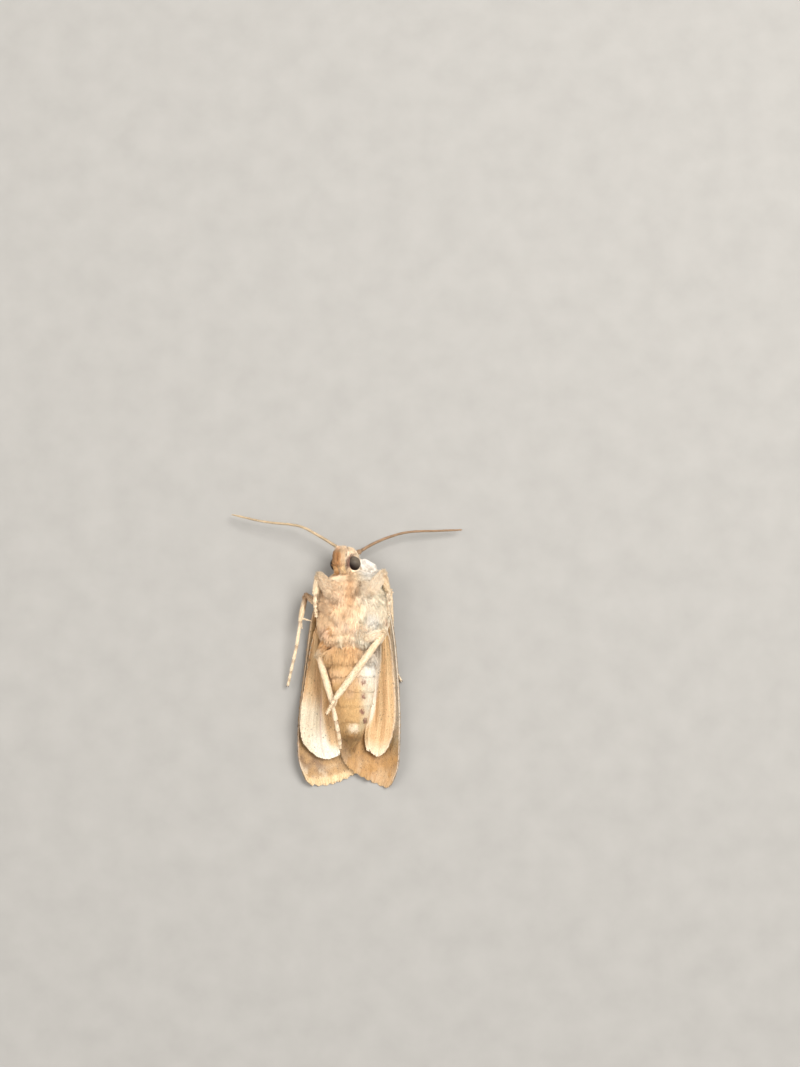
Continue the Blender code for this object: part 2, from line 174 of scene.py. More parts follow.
def random_lattice(cells, seed):
    """A fixed number from -1 to 1 for each whole-number cell."""
    x, y, z = (cells[..., k].astype(np.int64).astype(np.uint32) for k in range(3))
    mixed = x * np.uint32(73856093) ^ y * np.uint32(19349663) ^ z * np.uint32(83492791)
    mixed = (mixed ^ np.uint32(seed * 7919 + 17)) * np.uint32(1274126177)
    mixed = (mixed ^ (mixed >> np.uint32(13))) * np.uint32(2246822519)
    return (mixed ^ (mixed >> np.uint32(16))).astype(np.float64) / 2**31 - 1


def noise(points, size, seed=0):
    """Smooth noise from about -1 to 1, with features about size across."""
    scaled = points / size
    base = np.floor(scaled)
    share = scaled - base
    share = share * share * (3 - 2 * share)
    total = np.zeros(len(points))
    for corner in itertools.product((0, 1), repeat=3):
        weight = np.prod(np.where(corner, share, 1 - share), axis=1)
        total += weight * random_lattice(base + corner, seed)
    return total


def smooth_path(points, count):
    """count points, evenly spaced by length, on a smooth curve through the given ones."""
    knots = np.array(points, float)
    knots = np.vstack([2 * knots[0] - knots[1], knots, 2 * knots[-1] - knots[-2]])
    places = np.linspace(0, len(points) - 1, FINE_STEPS * len(points))
    first = np.minimum(places.astype(int), len(points) - 2)
    t = (places - first)[:, None]
    a, b, c, d = (knots[first + k] for k in range(4))
    fine = b + 0.5 * t * (c - a + t * (2 * a - 5 * b + 4 * c - d + t * (3 * (b - c) + d - a)))
    steps = np.linalg.norm(np.diff(fine[:, :3], axis=0), axis=1)
    length = np.concatenate([[0], np.cumsum(steps)])
    return columns_at(fine, length, np.linspace(0, length[-1], count))


def columns_at(rows, places, wanted):
    return np.column_stack([np.interp(wanted, places, column) for column in rows.T])


def on_head(out, forward, up):
    """A point of the turned head: out to its left, forward, and up from its crown to its chin."""
    turn_x, turn_z = math.cos(HEAD_ROLL), math.sin(HEAD_ROLL)
    return HEAD_CENTRE + (out * turn_x - up * turn_z, forward, out * turn_z + up * turn_x)


EYES = [on_head(side * EYE_OUT, EYE_FORWARD, EYE_UP) for side in (1, -1)]


# ------------------------------------------------------------------ meshes and objects


def frame_origin():
    """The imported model's origin in the moth's frame, found from where its left eye is."""
    low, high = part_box("eye_left")
    packed = np.array((low + high) / 2) / MM
    return on_head(*SOLID_EYE) - packed


def placed(name, data):
    """A new object in the scene."""
    made = bpy.data.objects.new(name, data)
    bpy.context.scene.collection.objects.link(made)
    return made


def add_mesh(name, points, face_sets, material, colours=None, bake_uv=None, smooth=True):
    """A piece that rides on the moth's body, from points in millimetres and arrays of faces."""
    mesh = bpy.data.meshes.new(name)
    face_sets = [faces for faces in face_sets if len(faces)]
    corners = np.concatenate([faces.ravel() for faces in face_sets])
    counts = np.concatenate([np.full(len(faces), faces.shape[1]) for faces in face_sets])
    starts = np.concatenate([[0], np.cumsum(counts)[:-1]])
    mesh.vertices.add(len(points))
    mesh.vertices.foreach_set("co", ((points - ORIGIN) * MM).astype(np.float32).ravel())
    mesh.loops.add(len(corners))
    mesh.loops.foreach_set("vertex_index", corners.astype(np.int32))
    mesh.polygons.add(len(counts))
    mesh.polygons.foreach_set("loop_start", starts.astype(np.int32))
    mesh.update(calc_edges=True)
    if smooth:
        mesh.shade_smooth()
    else:
        mesh.shade_flat()
    if colours is not None:
        rgba = np.column_stack([np.clip(colours, 0, 1), np.ones(len(points))])
        attribute = mesh.color_attributes.new("marking", "FLOAT_COLOR", "POINT")
        attribute.data.foreach_set("color", rgba.astype(np.float32).ravel())
    if bake_uv is not None:
        layer = mesh.uv_layers.new(name="OFBake")
        layer.uv.foreach_set("vector", bake_uv[corners].astype(np.float32).ravel())
    mesh.materials.append(material)
    made = placed(name, mesh)
    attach(made, "root")
    return made


def grid_faces(rows, columns, wrap=False):
    """Quads over a grid of points in row order; with wrap, the last column joins the first."""
    row = np.arange(rows - 1)[:, None]
    column = np.arange(columns if wrap else columns - 1)[None, :]
    after = (column + 1) % columns
    a, b = row * columns + column, row * columns + after
    return np.stack([a, b, b + columns, a + columns], axis=-1).reshape(-1, 4)


class Limb:
    """A round closed limb with domed ends along (x, y, z, radius) stations.

    Its places are (share of its length, angle around it).
    """

    def __init__(self, stations, rings, sides=12):
        path = smooth_path(stations, PATH_POINTS)
        self.length = path_length(path[:, :3])
        start, end = (min(0.45, path[k, 3] / self.length) for k in (0, -1))
        dome = 1 - np.cos(np.linspace(0, np.pi / 2, DOME_RINGS))
        self.shares = np.concatenate([
            start * dome, np.linspace(start, 1 - end, rings)[1:-1], 1 - end * dome[::-1],
        ])
        self.sides = sides
        self.rows = columns_at(path, np.linspace(0, 1, PATH_POINTS), self.shares)
        for share, reach in ((self.shares, start), (1 - self.shares, end)):
            inside = np.clip(share / reach, 0.0, 1.0)
            self.rows[:, 3] *= np.sqrt(np.maximum(1 - (1 - inside) ** 2, DOME_TIP**2))
        centres = self.rows[:, :3]
        self.tangents = unit(np.gradient(centres, axis=0))
        self.slopes = np.gradient(self.rows[:, 3], self.shares * self.length)
        side = unit(np.cross(self.tangents[0], (0.31, 0.2, 0.93)))
        outs = []
        for tangent in self.tangents:
            side = flat_to(side, tangent)
            outs.append(side)
        self.outs = np.array(outs)
        self.ups = np.cross(self.tangents, self.outs)

    def at(self, share, angle):
        """Points, normals and tangents at these shares of its length and angles around it."""
        def blend(rows):
            return columns_at(rows, self.shares, share)
        rows, slopes = blend(self.rows), blend(self.slopes[:, None])
        tangents = unit(blend(self.tangents))
        cos, sin = np.cos(angle)[:, None], np.sin(angle)[:, None]
        away = unit(blend(self.outs) * cos + blend(self.ups) * sin)
        return rows[:, :3] + away * rows[:, 3:], unit(away - tangents * slopes), tangents

    def mesh(self):
        """Points and faces of the whole limb."""
        rings = len(self.shares)
        share = np.repeat(self.shares, self.sides)
        angle = np.tile(np.linspace(0, 2 * np.pi, self.sides, endpoint=False), rings)
        points = np.vstack([self.at(share, angle)[0], self.rows[[0, -1], :3]])
        quads = grid_faces(rings, self.sides, wrap=True)
        around = np.arange(self.sides)
        after = (around + 1) % self.sides
        last, poles = (rings - 1) * self.sides, rings * self.sides
        start = np.column_stack([after, around, np.full(self.sides, poles)])
        end = np.column_stack([last + around, last + after, np.full(self.sides, poles + 1)])
        return points, [quads, np.vstack([start, end])]


def joined(parts):
    """Points and faces of several (points, face sets) in one."""
    points, face_sets, offset = [], [], 0
    for part_points, part_sets in parts:
        points.append(part_points)
        face_sets += [faces + offset for faces in part_sets]
        offset += len(part_points)
    return np.vstack(points), face_sets


# ------------------------------------------------------------------ the coat

# Each shape of tuft gives, for its rings, the share of its length and of its width, and how thick it
# is against its width. The last point of each is its tip.
HAIR = dict(places=(0.0, 0.35, 0.75), widths=(0.9, 1.0, 0.62), thickness=0.7)
FINE_HAIR = dict(places=(0.0, 0.55), widths=(1.0, 0.75), thickness=0.8)
SCALE = dict(places=(0.0, 0.5, 0.93), widths=(0.4, 1.0, 0.72), thickness=0.16)
SMALL_SCALE = dict(places=(0.0, 0.72), widths=(0.45, 1.0), thickness=0.2)
PADDLE = dict(places=(0.0, 0.6, 0.96), widths=(0.3, 0.8, 1.0), thickness=0.2)


def tuft_faces(rings):
    """Triangles of one closed three-sided tuft, whose tip comes after its rings."""
    faces, tip = [(0, 2, 1)], 3 * rings
    for ring, k in itertools.product(range(rings - 1), range(3)):
        a, b = 3 * ring + k, 3 * ring + (k + 1) % 3
        faces += [(a, b, b + 3), (a, b + 3, a + 3)]
    return np.array(faces + [(tip - 3 + k, tip - 3 + (k + 1) % 3, tip) for k in range(3)])


def spread(values, count):
    return np.broadcast_to(np.asarray(values, float), (count,))


def coat(name, patch, shape, length, width, lift, material, rng,
         hug=0.0, bend=0.12, clump=0.0, clump_size=0.6, sink=0.04, shade=0.3, vary=0.1, uneven=0.2):
    """Many closed tufts over a patch, in as many pieces as the limit on triangles needs.

    patch holds the roots, their lie, normals, colours and bake places. length, width and lift (the
    angle at which a tuft leaves the skin) are numbers or one number for each root. hug is the
    curvature that the tufts follow; clump draws their tips together.
    """
    roots, lie, normals, colours, places = patch
    count, rings = len(roots), len(shape["places"])
    t = np.append(shape["places"], 1.0)[None, :, None]
    length = (spread(length, count) * rng.uniform(1 - uneven, 1 + uneven, count))[:, None, None]
    width = (spread(width, count) * rng.uniform(0.8, 1.2, count))[:, None, None]
    lift = (spread(lift, count) * rng.uniform(0.7, 1.3, count))[:, None, None]
    aside = np.cross(normals, lie)
    rise = np.sin(lift) * (t - 0.45 * t**2) - hug * length * t**2 / 2
    line = roots[:, None] + length * (
        lie[:, None] * t * np.cos(lift)
        + normals[:, None] * rise
        + aside[:, None] * t**2 * rng.normal(0, bend, (count, 1, 1))
    )
    line -= normals[:, None] * sink
    if clump:
        line += clump_pull(line, clump_size, rng) * clump * t**2
    line[..., 2] = np.maximum(line[..., 2], LOWEST_TUFT)

    tangents = unit(np.gradient(line, axis=1))
    ups = unit(np.cross(tangents, aside[:, None]))
    half = width / 2 * np.append(shape["widths"], 0.0)[None, :, None]
    corners = ((0.0, 1.0), (-1.0, -0.5), (1.0, -0.5))
    ring_points = [
        line[:, :rings]
        + half[:, :rings] * (aside[:, None] * out + ups[:, :rings] * up * shape["thickness"])
        for out, up in corners
    ]
    points = np.stack(ring_points, axis=2).reshape(count, 3 * rings, 3)
    points = np.concatenate([points, line[:, rings:]], axis=1)
    points[..., 2] = np.maximum(points[..., 2], 0.0)

    along = np.append(np.repeat(shape["places"], 3), 1.0)
    across = np.append(np.tile([0.0, -0.5, 0.5], rings), 0.0)
    tuft_uv = np.column_stack([across, along - 0.5]) * BAKE_PATCH
    uv = np.clip(places, BAKE_PATCH, 1 - BAKE_PATCH)[:, None] + tuft_uv[None]
    # Painted shade: by shade, each tuft is darker at its root and lighter towards its tip; vary adds a
    # random tone.
    tone = (1 + rng.normal(0, vary, (count, 1, 1))) * (1 - shade + 1.25 * shade * along[None, :, None])
    tint = colours[:, None] * np.clip(tone, 0.3, 1.6) ** DEEP_HUE

    faces, size = tuft_faces(rings), 3 * rings + 1
    most = MOST_TRIANGLES // len(faces)
    pieces = []
    order = np.argsort(roots[:, 1], kind="stable")
    batches = np.array_split(order, math.ceil(count / most))
    for number, batch in enumerate(batches, 1):
        all_faces = (faces[None] + size * np.arange(len(batch))[:, None, None]).reshape(-1, 3)
        pieces.append(add_mesh(
            name if len(batches) == 1 else f"{name}_{number}", points[batch].reshape(-1, 3),
            [all_faces], material, tint[batch].reshape(-1, 3), uv[batch].reshape(-1, 2),
            smooth=shape["thickness"] > 0.5,
        ))
    return pieces


def clump_pull(line, size, rng):
    """For each tuft, the way from its tip to the tip of the nearest clump's leader."""
    roots, tips = line[:, 0], line[:, -1]
    leaders = spaced(roots, size, rng)
    tree = tree_of(roots[leaders])
    nearest = np.array([leaders[tree.find(root)[1]] for root in roots])
    return (tips[nearest] - tips)[:, None]


def spaced(points, gap, rng):
    """Indices of points of which no more than one lies in each cell of size gap."""
    order = rng.permutation(len(points))
    cells = np.floor(points[order] / gap).astype(np.int64)
    return order[np.unique(cells, axis=0, return_index=True)[1]]


def scattered(points, triangles, gap, rng):
    """Triangle indices and corner shares of places spread over a surface, about gap apart."""
    corners = points[triangles]
    crossed = np.cross(corners[:, 1] - corners[:, 0], corners[:, 2] - corners[:, 0])
    areas = np.linalg.norm(crossed, axis=1) / 2
    wanted = int(5 * areas.sum() / gap**2)
    chosen = rng.choice(len(triangles), wanted, p=areas / areas.sum())
    share = rng.random((wanted, 2))
    share = np.where(share.sum(axis=1, keepdims=True) > 1, 1 - share, share)
    weights = np.column_stack([1 - share.sum(axis=1), share])
    places = np.einsum("nk,nkj->nj", weights, corners[chosen])
    kept = spaced(places, gap, rng)
    return chosen[kept], weights[kept]


def turned(lie, normals, angles):
    """The lie turned about the normals by these angles."""
    cos, sin = np.cos(angles)[:, None], np.sin(angles)[:, None]
    return lie * cos + np.cross(normals, lie) * sin


def around_trunk(points):
    """Places on an unwrap of the trunk as a cylinder about its long axis."""
    x, y, z = points.T
    angle = np.arctan2(z - TRUNK_Z, x - TRUNK_X)
    return np.column_stack([angle / (2 * np.pi) + 0.5, (y - TRUNK_REAR_Y) / TRUNK_LENGTH])


# ------------------------------------------------------------------ materials


def node_material(name, roughness, **sockets):
    """A new material whose shader has these values on its own sockets."""
    made = bpy.data.materials.new(name)
    made.use_nodes = True
    shader = made.node_tree.nodes["Principled BSDF"]
    shader.inputs["Roughness"].default_value = roughness
    for socket, value in sockets.items():
        shader.inputs[socket.replace("_", " ")].default_value = value
    return made, made.node_tree, shader


def add_node(tree, kind, inputs=None, **settings):
    node = tree.nodes.new(kind)
    for name, value in settings.items():
        setattr(node, name, value)
    for name, value in (inputs or {}).items():
        if isinstance(value, bpy.types.NodeSocket):
            tree.links.new(value, node.inputs[name])
        else:
            node.inputs[name].default_value = value
    return node


def pattern(tree, size, stretch=(1, 1, 1), kind="ShaderNodeTexNoise", **inputs):
    """A procedural texture with features about size millimetres across, stretched along the axes."""
    place = add_node(tree, "ShaderNodeTexCoord").outputs["Object"]
    scaled = add_node(tree, "ShaderNodeMapping", {
        "Vector": place, "Scale": [1 / (MM * s) for s in stretch],
    })
    return add_node(tree, kind, {"Vector": scaled.outputs["Vector"], "Scale": 1 / size, **inputs})


def ramp(tree, value, low, high):
    """value's middle range, from low to high."""
    return add_node(tree, "ShaderNodeMapRange", {
        "Value": value, "From Min": 0.3, "From Max": 0.7, "To Min": low, "To Max": high,
    }).outputs["Result"]


def blend_colours(tree, share, first, second, shader):
    """Gives the shader a colour that goes from first to second with share."""
    ramp_node = add_node(tree, "ShaderNodeValToRGB", {"Fac": share})
    for element, colour, place in zip(ramp_node.color_ramp.elements, (first, second), (0.3, 0.7)):
        element.color, element.position = (*colour, 1), place
    tree.links.new(ramp_node.outputs["Color"], shader.inputs["Base Color"])


def scale_markings(tree, shader, tone):
    """Gives the shader the mesh's markings, times a tone."""
    marking = add_node(tree, "ShaderNodeAttribute", attribute_name="marking")
    colour = add_node(tree, "ShaderNodeVectorMath", {
        0: marking.outputs["Color"], "Scale": tone,
    }, operation="SCALE")
    tree.links.new(colour.outputs["Vector"], shader.inputs["Base Color"])


def add_relief(tree, shader, height, strength, depth, **settings):
    """Gives the shader bumps up to depth millimetres."""
    relief = add_node(tree, "ShaderNodeBump", {
        "Height": height, "Strength": strength, "Distance": depth * MM,
    }, **settings)
    tree.links.new(relief.outputs["Normal"], shader.inputs["Normal"])


def marked_material(name, roughness, grain, stretch=(1, 1, 1), tone=0.18, bump=0.3, bump_depth=0.02,
                    rough_change=0.12, **sockets):
    """A material for skin or coat: its markings with a fine grain in tone, roughness and relief."""
    made, tree, shader = node_material(name, roughness, **sockets)
    fine = pattern(tree, grain, stretch, Detail=3.0)
    broad = pattern(tree, grain * 6, Detail=2.0)
    fine_tone = ramp(tree, fine.outputs["Fac"], 1 - tone, 1 + tone)
    both = add_node(tree, "ShaderNodeMath", {
        0: fine_tone, 1: ramp(tree, broad.outputs["Fac"], 1 - tone / 2, 1 + tone / 2),
    }, operation="MULTIPLY")
    scale_markings(tree, shader, both.outputs["Value"])
    rough = ramp(tree, fine.outputs["Fac"], roughness - rough_change, roughness + rough_change)
    tree.links.new(rough, shader.inputs["Roughness"])
    add_relief(tree, shader, fine.outputs["Fac"], bump, bump_depth)
    return made


def wing_material(name, roughness, **sockets):
    """Wing membrane: its markings under rows of tiny scales."""
    made, tree, shader = node_material(name, roughness, **sockets)
    rows = pattern(tree, 0.1, (1, 2.2, 1), "ShaderNodeTexVoronoi", Randomness=0.8)
    tone = add_node(tree, "ShaderNodeMapRange", {
        "Value": rows.outputs["Distance"], "From Max": 0.7, "To Min": 1.12, "To Max": 0.82,
    })
    scale_markings(tree, shader, tone.outputs["Result"])
    broad = pattern(tree, 0.8, Detail=3.0)
    rough = ramp(tree, broad.outputs["Fac"], roughness - 0.1, roughness + 0.1)
    tree.links.new(rough, shader.inputs["Roughness"])
    add_relief(tree, shader, rows.outputs["Distance"], 0.35, 0.03, invert=True)
    return made


def floor_material():
    made, tree, shader = node_material("pale_floor", 0.7)
    grain = pattern(tree, 3.0, Detail=5.0)
    blend_colours(tree, grain.outputs["Fac"], (0.35, 0.352, 0.352), (0.38, 0.382, 0.382), shader)
    return made


# ------------------------------------------------------------------ trunk and head: one skin

# Soft lumps of the underside, in the skin: (start, end, radius).
LUMPS = (
    # Coxae and the small plate between the hind ones.
    ((1.1, 8.1, 3.9), (0.55, 6.5, 4.75), 0.64),
    ((2.3, 7.9, 3.5), (1.7, 6.7, 4.2), 0.62),
    ((-1.3, 8.0, 3.8), (-1.1, 5.8, 4.68), 0.78),
    ((1.6, 5.6, 4.3), (0.9, 3.7, 4.78), 0.7),
    ((-1.6, 5.2, 4.3), (-0.95, 3.7, 4.62), 0.64),
    ((0.6, 2.1, 4.9), (2.1, 2.1, 4.45), 0.66),
    ((0.25, 0.8, 4.75), (1.2, 0.65, 4.6), 0.34),
    ((-0.95, 2.8, 4.75), (-0.85, 1.6, 4.75), 0.42),
    ((-2.2, 3.2, 4.0), (-2.1, 1.7, 4.15), 0.62),
    # The two tufts of the face and the rim before the left eye.
    ((-0.7, 10.3, 3.0), (-0.8, 10.9, 2.95), 0.38),
    ((0.2, 10.1, 2.8), (0.4, 10.25, 2.7), 0.4),
    ((-0.05, 10.05, 3.3), (0.45, 10.2, 3.2), 0.3),
    ((0.45, 10.15, 3.0), (0.8, 10.05, 2.7), 0.26),
    # The collar, the thorax's left side, from the collar to the left fore knee, and the waist's
    # right side.
    ((1.0, 9.95, 2.25), (2.7, 9.0, 2.5), 0.5),
    ((1.9, 4.1, 4.0), (2.4, 3.0, 3.95), 0.62),
    ((2.2, 8.75, 2.6), (3.2, 8.2, 3.0), 0.6),
    ((-1.7, 1.3, 3.9), (-1.75, -0.8, 3.7), 0.75),
)

# Markings of the belly side, with some painted highlights and painted shade among them, seen from above:
# (x, y), reach across and along, colour, strength.
BELLY_MARKS_AND_PAINTED_LIGHT = (
    # Painted highlight on the lobe of the right fore coxa.
    ((-1.4, 5.9), (1.0, 1.2), PINK_CREAM, 0.8),
    ((0.1, 6.4), (0.5, 1.7), (0.76, 0.49, 0.27), 0.8),
    ((0.0, 8.0), (0.35, 0.4), BROWN, 0.5),
    # Painted shade: a dark diagonal gap between the left fore coxa and the middle.
    ((1.05, 7.2), (0.24, 0.4), BROWN, 0.9),
    ((0.75, 6.7), (0.24, 0.4), (0.42, 0.25, 0.13), 0.85),
    ((0.4, 6.1), (0.24, 0.4), (0.55, 0.34, 0.19), 0.8),
    # Painted shade between the head and the right fore leg.
    ((-1.75, 8.7), (0.3, 0.5), DARK_BROWN, 0.8),
    ((-2.3, 7.6), (0.2, 0.4), (0.62, 0.42, 0.25), 0.8),
    ((-1.9, 6.8), (0.2, 0.5), (0.62, 0.42, 0.25), 0.8),
    ((-1.2, 8.0), (0.7, 0.6), PALE_CREAM, 0.8),
    ((2.3, 7.7), (0.7, 0.7), WARM_WHITE, 0.95),
    ((2.0, 5.6), (0.8, 1.1), WARM_WHITE, 0.6),
    ((1.2, 6.0), (0.3, 0.5), (0.70, 0.58, 0.46), 0.6),
    ((0.9, 4.9), (0.3, 0.5), BUFF, 0.6),
    ((-0.5, 4.3), (0.4, 0.5), (0.58, 0.38, 0.22), 0.8),
    ((-1.6, 4.7), (0.9, 0.22), TAN, 0.7),
    ((-1.2, 3.4), (0.4, 0.5), (0.74, 0.58, 0.46), 0.6),
    ((-0.3, 3.2), (0.4, 0.5), (0.72, 0.58, 0.48), 0.6),
    ((1.0, 2.8), (0.9, 0.18), (0.72, 0.44, 0.33), 0.8),
    ((-2.3, 2.6), (0.5, 0.5), (0.85, 0.58, 0.42), 0.8),
    ((2.2, 3.7), (0.8, 0.8), WHITE, 0.95),
    ((3.5, 3.6), (0.25, 0.25), (0.55, 0.25, 0.12), 0.9),
    # Painted shade on the thorax's right side, between the coxae and above the right hind femur.
    ((-2.9, 5.2), (0.35, 0.6), BROWN, 0.85),
    ((-2.9, 2.2), (0.45, 0.6), (0.52, 0.38, 0.25), 0.8),
    ((-3.0, 1.2), (0.5, 0.9), (0.46, 0.28, 0.14), 0.7),
    ((1.4, 1.9), (1.1, 0.6), WARM_WHITE, 0.9),
    # Painted shadow: a thin line behind the left hind coxa.
    ((1.2, 1.1), (0.8, 0.14), (0.50, 0.36, 0.24), 0.6),
    ((-0.85, 1.8), (0.3, 0.8), (1.0, 0.88, 0.68), 0.95),
    ((-0.3, 0.3), (1.9, 0.8), (0.88, 0.60, 0.32), 0.8),
    ((2.2, -1.0), (1.2, 1.9), (0.84, 0.82, 0.76), 0.95),
    ((2.2, -4.0), (0.95, 2.3), (0.82, 0.75, 0.60), 0.9),
    ((0.0, -6.0), (0.4, 0.14), (0.46, 0.27, 0.11), 0.8),
    ((0.45, -6.7), (0.6, 0.42), PALE_CREAM, 0.9),
    ((1.25, -6.6), (0.3, 1.0), (0.62, 0.53, 0.34), 0.7),
    ((0.0, -7.4), (0.7, 0.13), (0.50, 0.25, 0.07), 0.9),
    # Painted shade in the tail tuft, and a painted shadow in the gap at its end.
    ((0.2, -8.2), (0.4, 0.7), (0.56, 0.33, 0.12), 0.7),
    ((-0.4, -8.7), (0.22, 0.28), (0.30, 0.15, 0.06), 0.9),
    ((1.1, -8.1), (0.4, 0.5), (0.86, 0.58, 0.34), 0.8),
    ((1.7, -7.3), (0.16, 0.35), (0.32, 0.20, 0.11), 0.8),
)
SPOTS = ((1.4, -2.2), (1.4, -3.6), (1.25, -5.1), (1.55, -5.95), (2.15, -5.8))
SPOT_SIZE = 0.25


def solid_in_mm(name, grow):
    """A CAD node as a bmesh in the moth's frame, grown a little along its normals."""
    shape = bmesh.new()
    shape.from_mesh(frame["nodes"][name].data)
    bmesh.ops.remove_doubles(shape, verts=shape.verts, dist=1e-7)
    to_moth = Matrix.Translation(ORIGIN) @ Matrix.Scale(1 / MM, 4)
    bmesh.ops.transform(shape, matrix=to_moth, verts=shape.verts)
    bmesh.ops.recalc_face_normals(shape, faces=shape.faces)
    for vertex in shape.verts:
        vertex.co += vertex.normal * grow
    return shape


def mesh_arrays(mesh):
    """Points, quads and point normals of a mesh of quads."""
    points = np.empty(len(mesh.vertices) * 3)
    mesh.vertices.foreach_get("co", points)
    normals = np.empty(len(mesh.vertices) * 3)
    mesh.vertex_normals.foreach_get("vector", normals)
    corners = np.empty(len(mesh.loops), np.int64)
    mesh.loops.foreach_get("vertex_index", corners)
    return points.reshape(-1, 3), corners.reshape(-1, 4), normals.reshape(-1, 3)


def one_skin():
    """Points, quads and normals of one surface round the trunk's solids and lumps."""
    whole = bpy.data.meshes.new("skin_solids")
    gathered = bmesh.new()
    for name in SKIN_NODES:
        shape = solid_in_mm(name, SKIN_JOIN)
        shape.to_mesh(whole)
        gathered.from_mesh(whole)
        shape.free()
    for start, end, radius in LUMPS:
        points, face_sets = Limb([(*start, radius), (*end, radius)], 6, 14).mesh()
        corners = [gathered.verts.new(point) for point in points]
        for faces in face_sets:
            for face in faces:
                gathered.faces.new([corners[k] for k in face])
    gathered.to_mesh(whole)
    gathered.free()
    holder = placed("skin_solids", whole)
    remesh = holder.modifiers.new("remesh", "REMESH")
    remesh.mode, remesh.voxel_size = "VOXEL", SKIN_VOXEL
    smooth = holder.modifiers.new("smooth", "SMOOTH")
    smooth.factor, smooth.iterations = 0.5, 6
    graph = bpy.context.evaluated_depsgraph_get()
    made = bpy.data.meshes.new_from_object(holder.evaluated_get(graph))
    bpy.data.objects.remove(holder)
    return mesh_arrays(made)


def coat_depth(points):
    """How far the skin lies inside the solids."""
    y = points[:, 1]
    depth = THORAX_COAT + (HEAD_COAT - THORAX_COAT) * ease(NECK_Y, NECK_Y + 0.8, y)
    depth += (ABDOMEN_COAT - depth) * ease(WAIST_Y + 0.3, WAIST_Y - 0.7, y)
    depth += (TAIL_COAT - ABDOMEN_COAT) * ease(TAIL_Y, ABDOMEN_END_Y, y)
    for eye in EYES:
        depth *= ease(EYE_RADIUS, EYE_RADIUS + 0.35, distance(points, eye))
    return depth


def segment_share(y):
    """How far y lies through its segment of the abdomen, from its front to its rear rim."""
    return (ABDOMEN_Y - y) / (ABDOMEN_Y - ABDOMEN_END_Y) * ABDOMEN_SEGMENTS % 1.0


def head_colour(points):
    """Cream face and tufts, dark sides with painted shade on the right one, painted shade in the notch
    between the tufts, a white collar, and a dark rim of painted shade round each eye.
    """
    x, y, _ = points.T
    local_x, _, local_z = (points - HEAD_CENTRE).T
    out = local_x * math.cos(HEAD_ROLL) + local_z * math.sin(HEAD_ROLL)
    up = local_z * math.cos(HEAD_ROLL) - local_x * math.sin(HEAD_ROLL)
    notch = peak(x, NOTCH_X, 0.13) * ease(10.0, 10.4, y)
    colour = layered(
        PALE_CREAM,
        ((0.88, 0.56, 0.33), 0.75 * ease(0.2, -0.9, out) * ease(-0.4, 0.6, up)),
        (PINK_CREAM, 0.6 * peak(x, 0.2, 0.45)),
        (CREAM, 0.6 * ease(0.25, 0.8, noise(points, 0.3, 6))),
        # Painted shade: dark brown over the head's right side, which faces away from the light.
        (CHEEK_SHADE, 0.9 * ease(-0.75, -1.12, out)),
        (CHEEK_SHADE, 0.85 * ease(-1.1, -1.5, x)),
        (BACK_BUFF, ease(-0.5, -1.2, up) * 0.8),
        # Painted shade in the notch between the two tufts of the face.
        ((0.42, 0.25, 0.14), 0.7 * notch),
        (LILAC_WHITE, 0.9 * on_collar(points)),
    )
    # Painted shade: a dark rim round each eye, strongest towards the moth's right, where the eye sinks
    # into the hair.
    for eye in EYES:
        near = ease(EYE_RADIUS + 0.42, EYE_RADIUS + 0.15, distance(points, eye))
        near *= 0.2 + 0.8 * ease(0.4, -0.3, x - eye[0]) * ease(-0.85, -0.5, y - eye[1])
        colour = mix(colour, EYE_RIM_SHADE, 0.95 * near)
    return colour


def belly_side_colour(points):
    """The thorax's cream, the abdomen's tan, and the marks and spots on both; some of the marks are
    painted highlights and painted shade.
    """
    x, y, z = points.T
    thorax = layered(
        (0.94, 0.72, 0.49),
        ((0.96, 0.87, 0.70), ease(-0.8, 2.2, x)),
        ((0.97, 0.70, 0.44), 0.6 * ease(-1.2, -2.8, x) * ease(7.0, 3.5, y)),
    )
    rear = layered(
        (0.60, 0.38, 0.17),
        ((0.54, 0.34, 0.15), ease(-5.0, -7.8, y)),
        ((0.68, 0.46, 0.29), 0.6 * ease(0.0, 0.8, noise(points, 1.6, 5))),
        (BUFF, 0.35 * ease(-0.6, -2.4, x)),
    )
    colour = mix(thorax, rear, ease(1.6, 0.4, y + 0.25 * np.abs(x)))
    on_belly = ease(2.4, 3.5, z)
    for (mark_x, mark_y), (across, along), paint, strength in BELLY_MARKS_AND_PAINTED_LIGHT:
        reach = ((x - mark_x) / across) ** 2 + ((y - mark_y) / along) ** 2
        colour = mix(colour, paint, strength * np.exp(-(reach**1.5)) * on_belly)
    for spot_x, spot_y in SPOTS:
        reach = ((x - spot_x) ** 2 + (y - spot_y) ** 2) / SPOT_SIZE**2
        colour = mix(colour, (0.26, 0.13, 0.09), np.exp(-(reach**2)) * on_belly)
    return colour


def body_colour(points):
    """Markings that the skin and its coat share, with the painted light and shade of the belly and head
    among them.
    """
    x, y, z = points.T
    back = mix(BACK_BUFF, GREY_BUFF, ease(1.5, -1.0, y))
    collar = ease(7.0, 8.6, y) * ease(0.6, 1.6, x)
    colour = layered(
        belly_side_colour(points),
        (LILAC_WHITE, 0.85 * collar),
        (back, ease(2.2, 0.8, z + 0.9 * collar)),
        (head_colour(points), ease(8.7, 9.2, y)),
    )
    rim = (y < WAIST_Y) * peak(segment_share(y), 0.96, 0.1)
    colour = mix(colour, colour * 0.75, 0.08 * rim)
    cloud = 0.09 * noise(points, 0.9, 1) + 0.06 * noise(points, 0.35, 2)
    return np.clip(colour * (1 + cloud[:, None]), 0, 1)


def on_collar(points):
    """1 on the smooth white collar behind the left eye, and 0 away from it."""
    x, y, z = points.T
    return ease(0.85, 1.2, x) * ease(3.1, 2.8, z) * ease(1.2, 2.0, z) * ease(8.4, 8.8, y)


def face_tuft(x):
    """Where across the head the middle of the nearer of the two tufts on the face is."""
    return np.where(x < NOTCH_X, -0.85, 0.35)


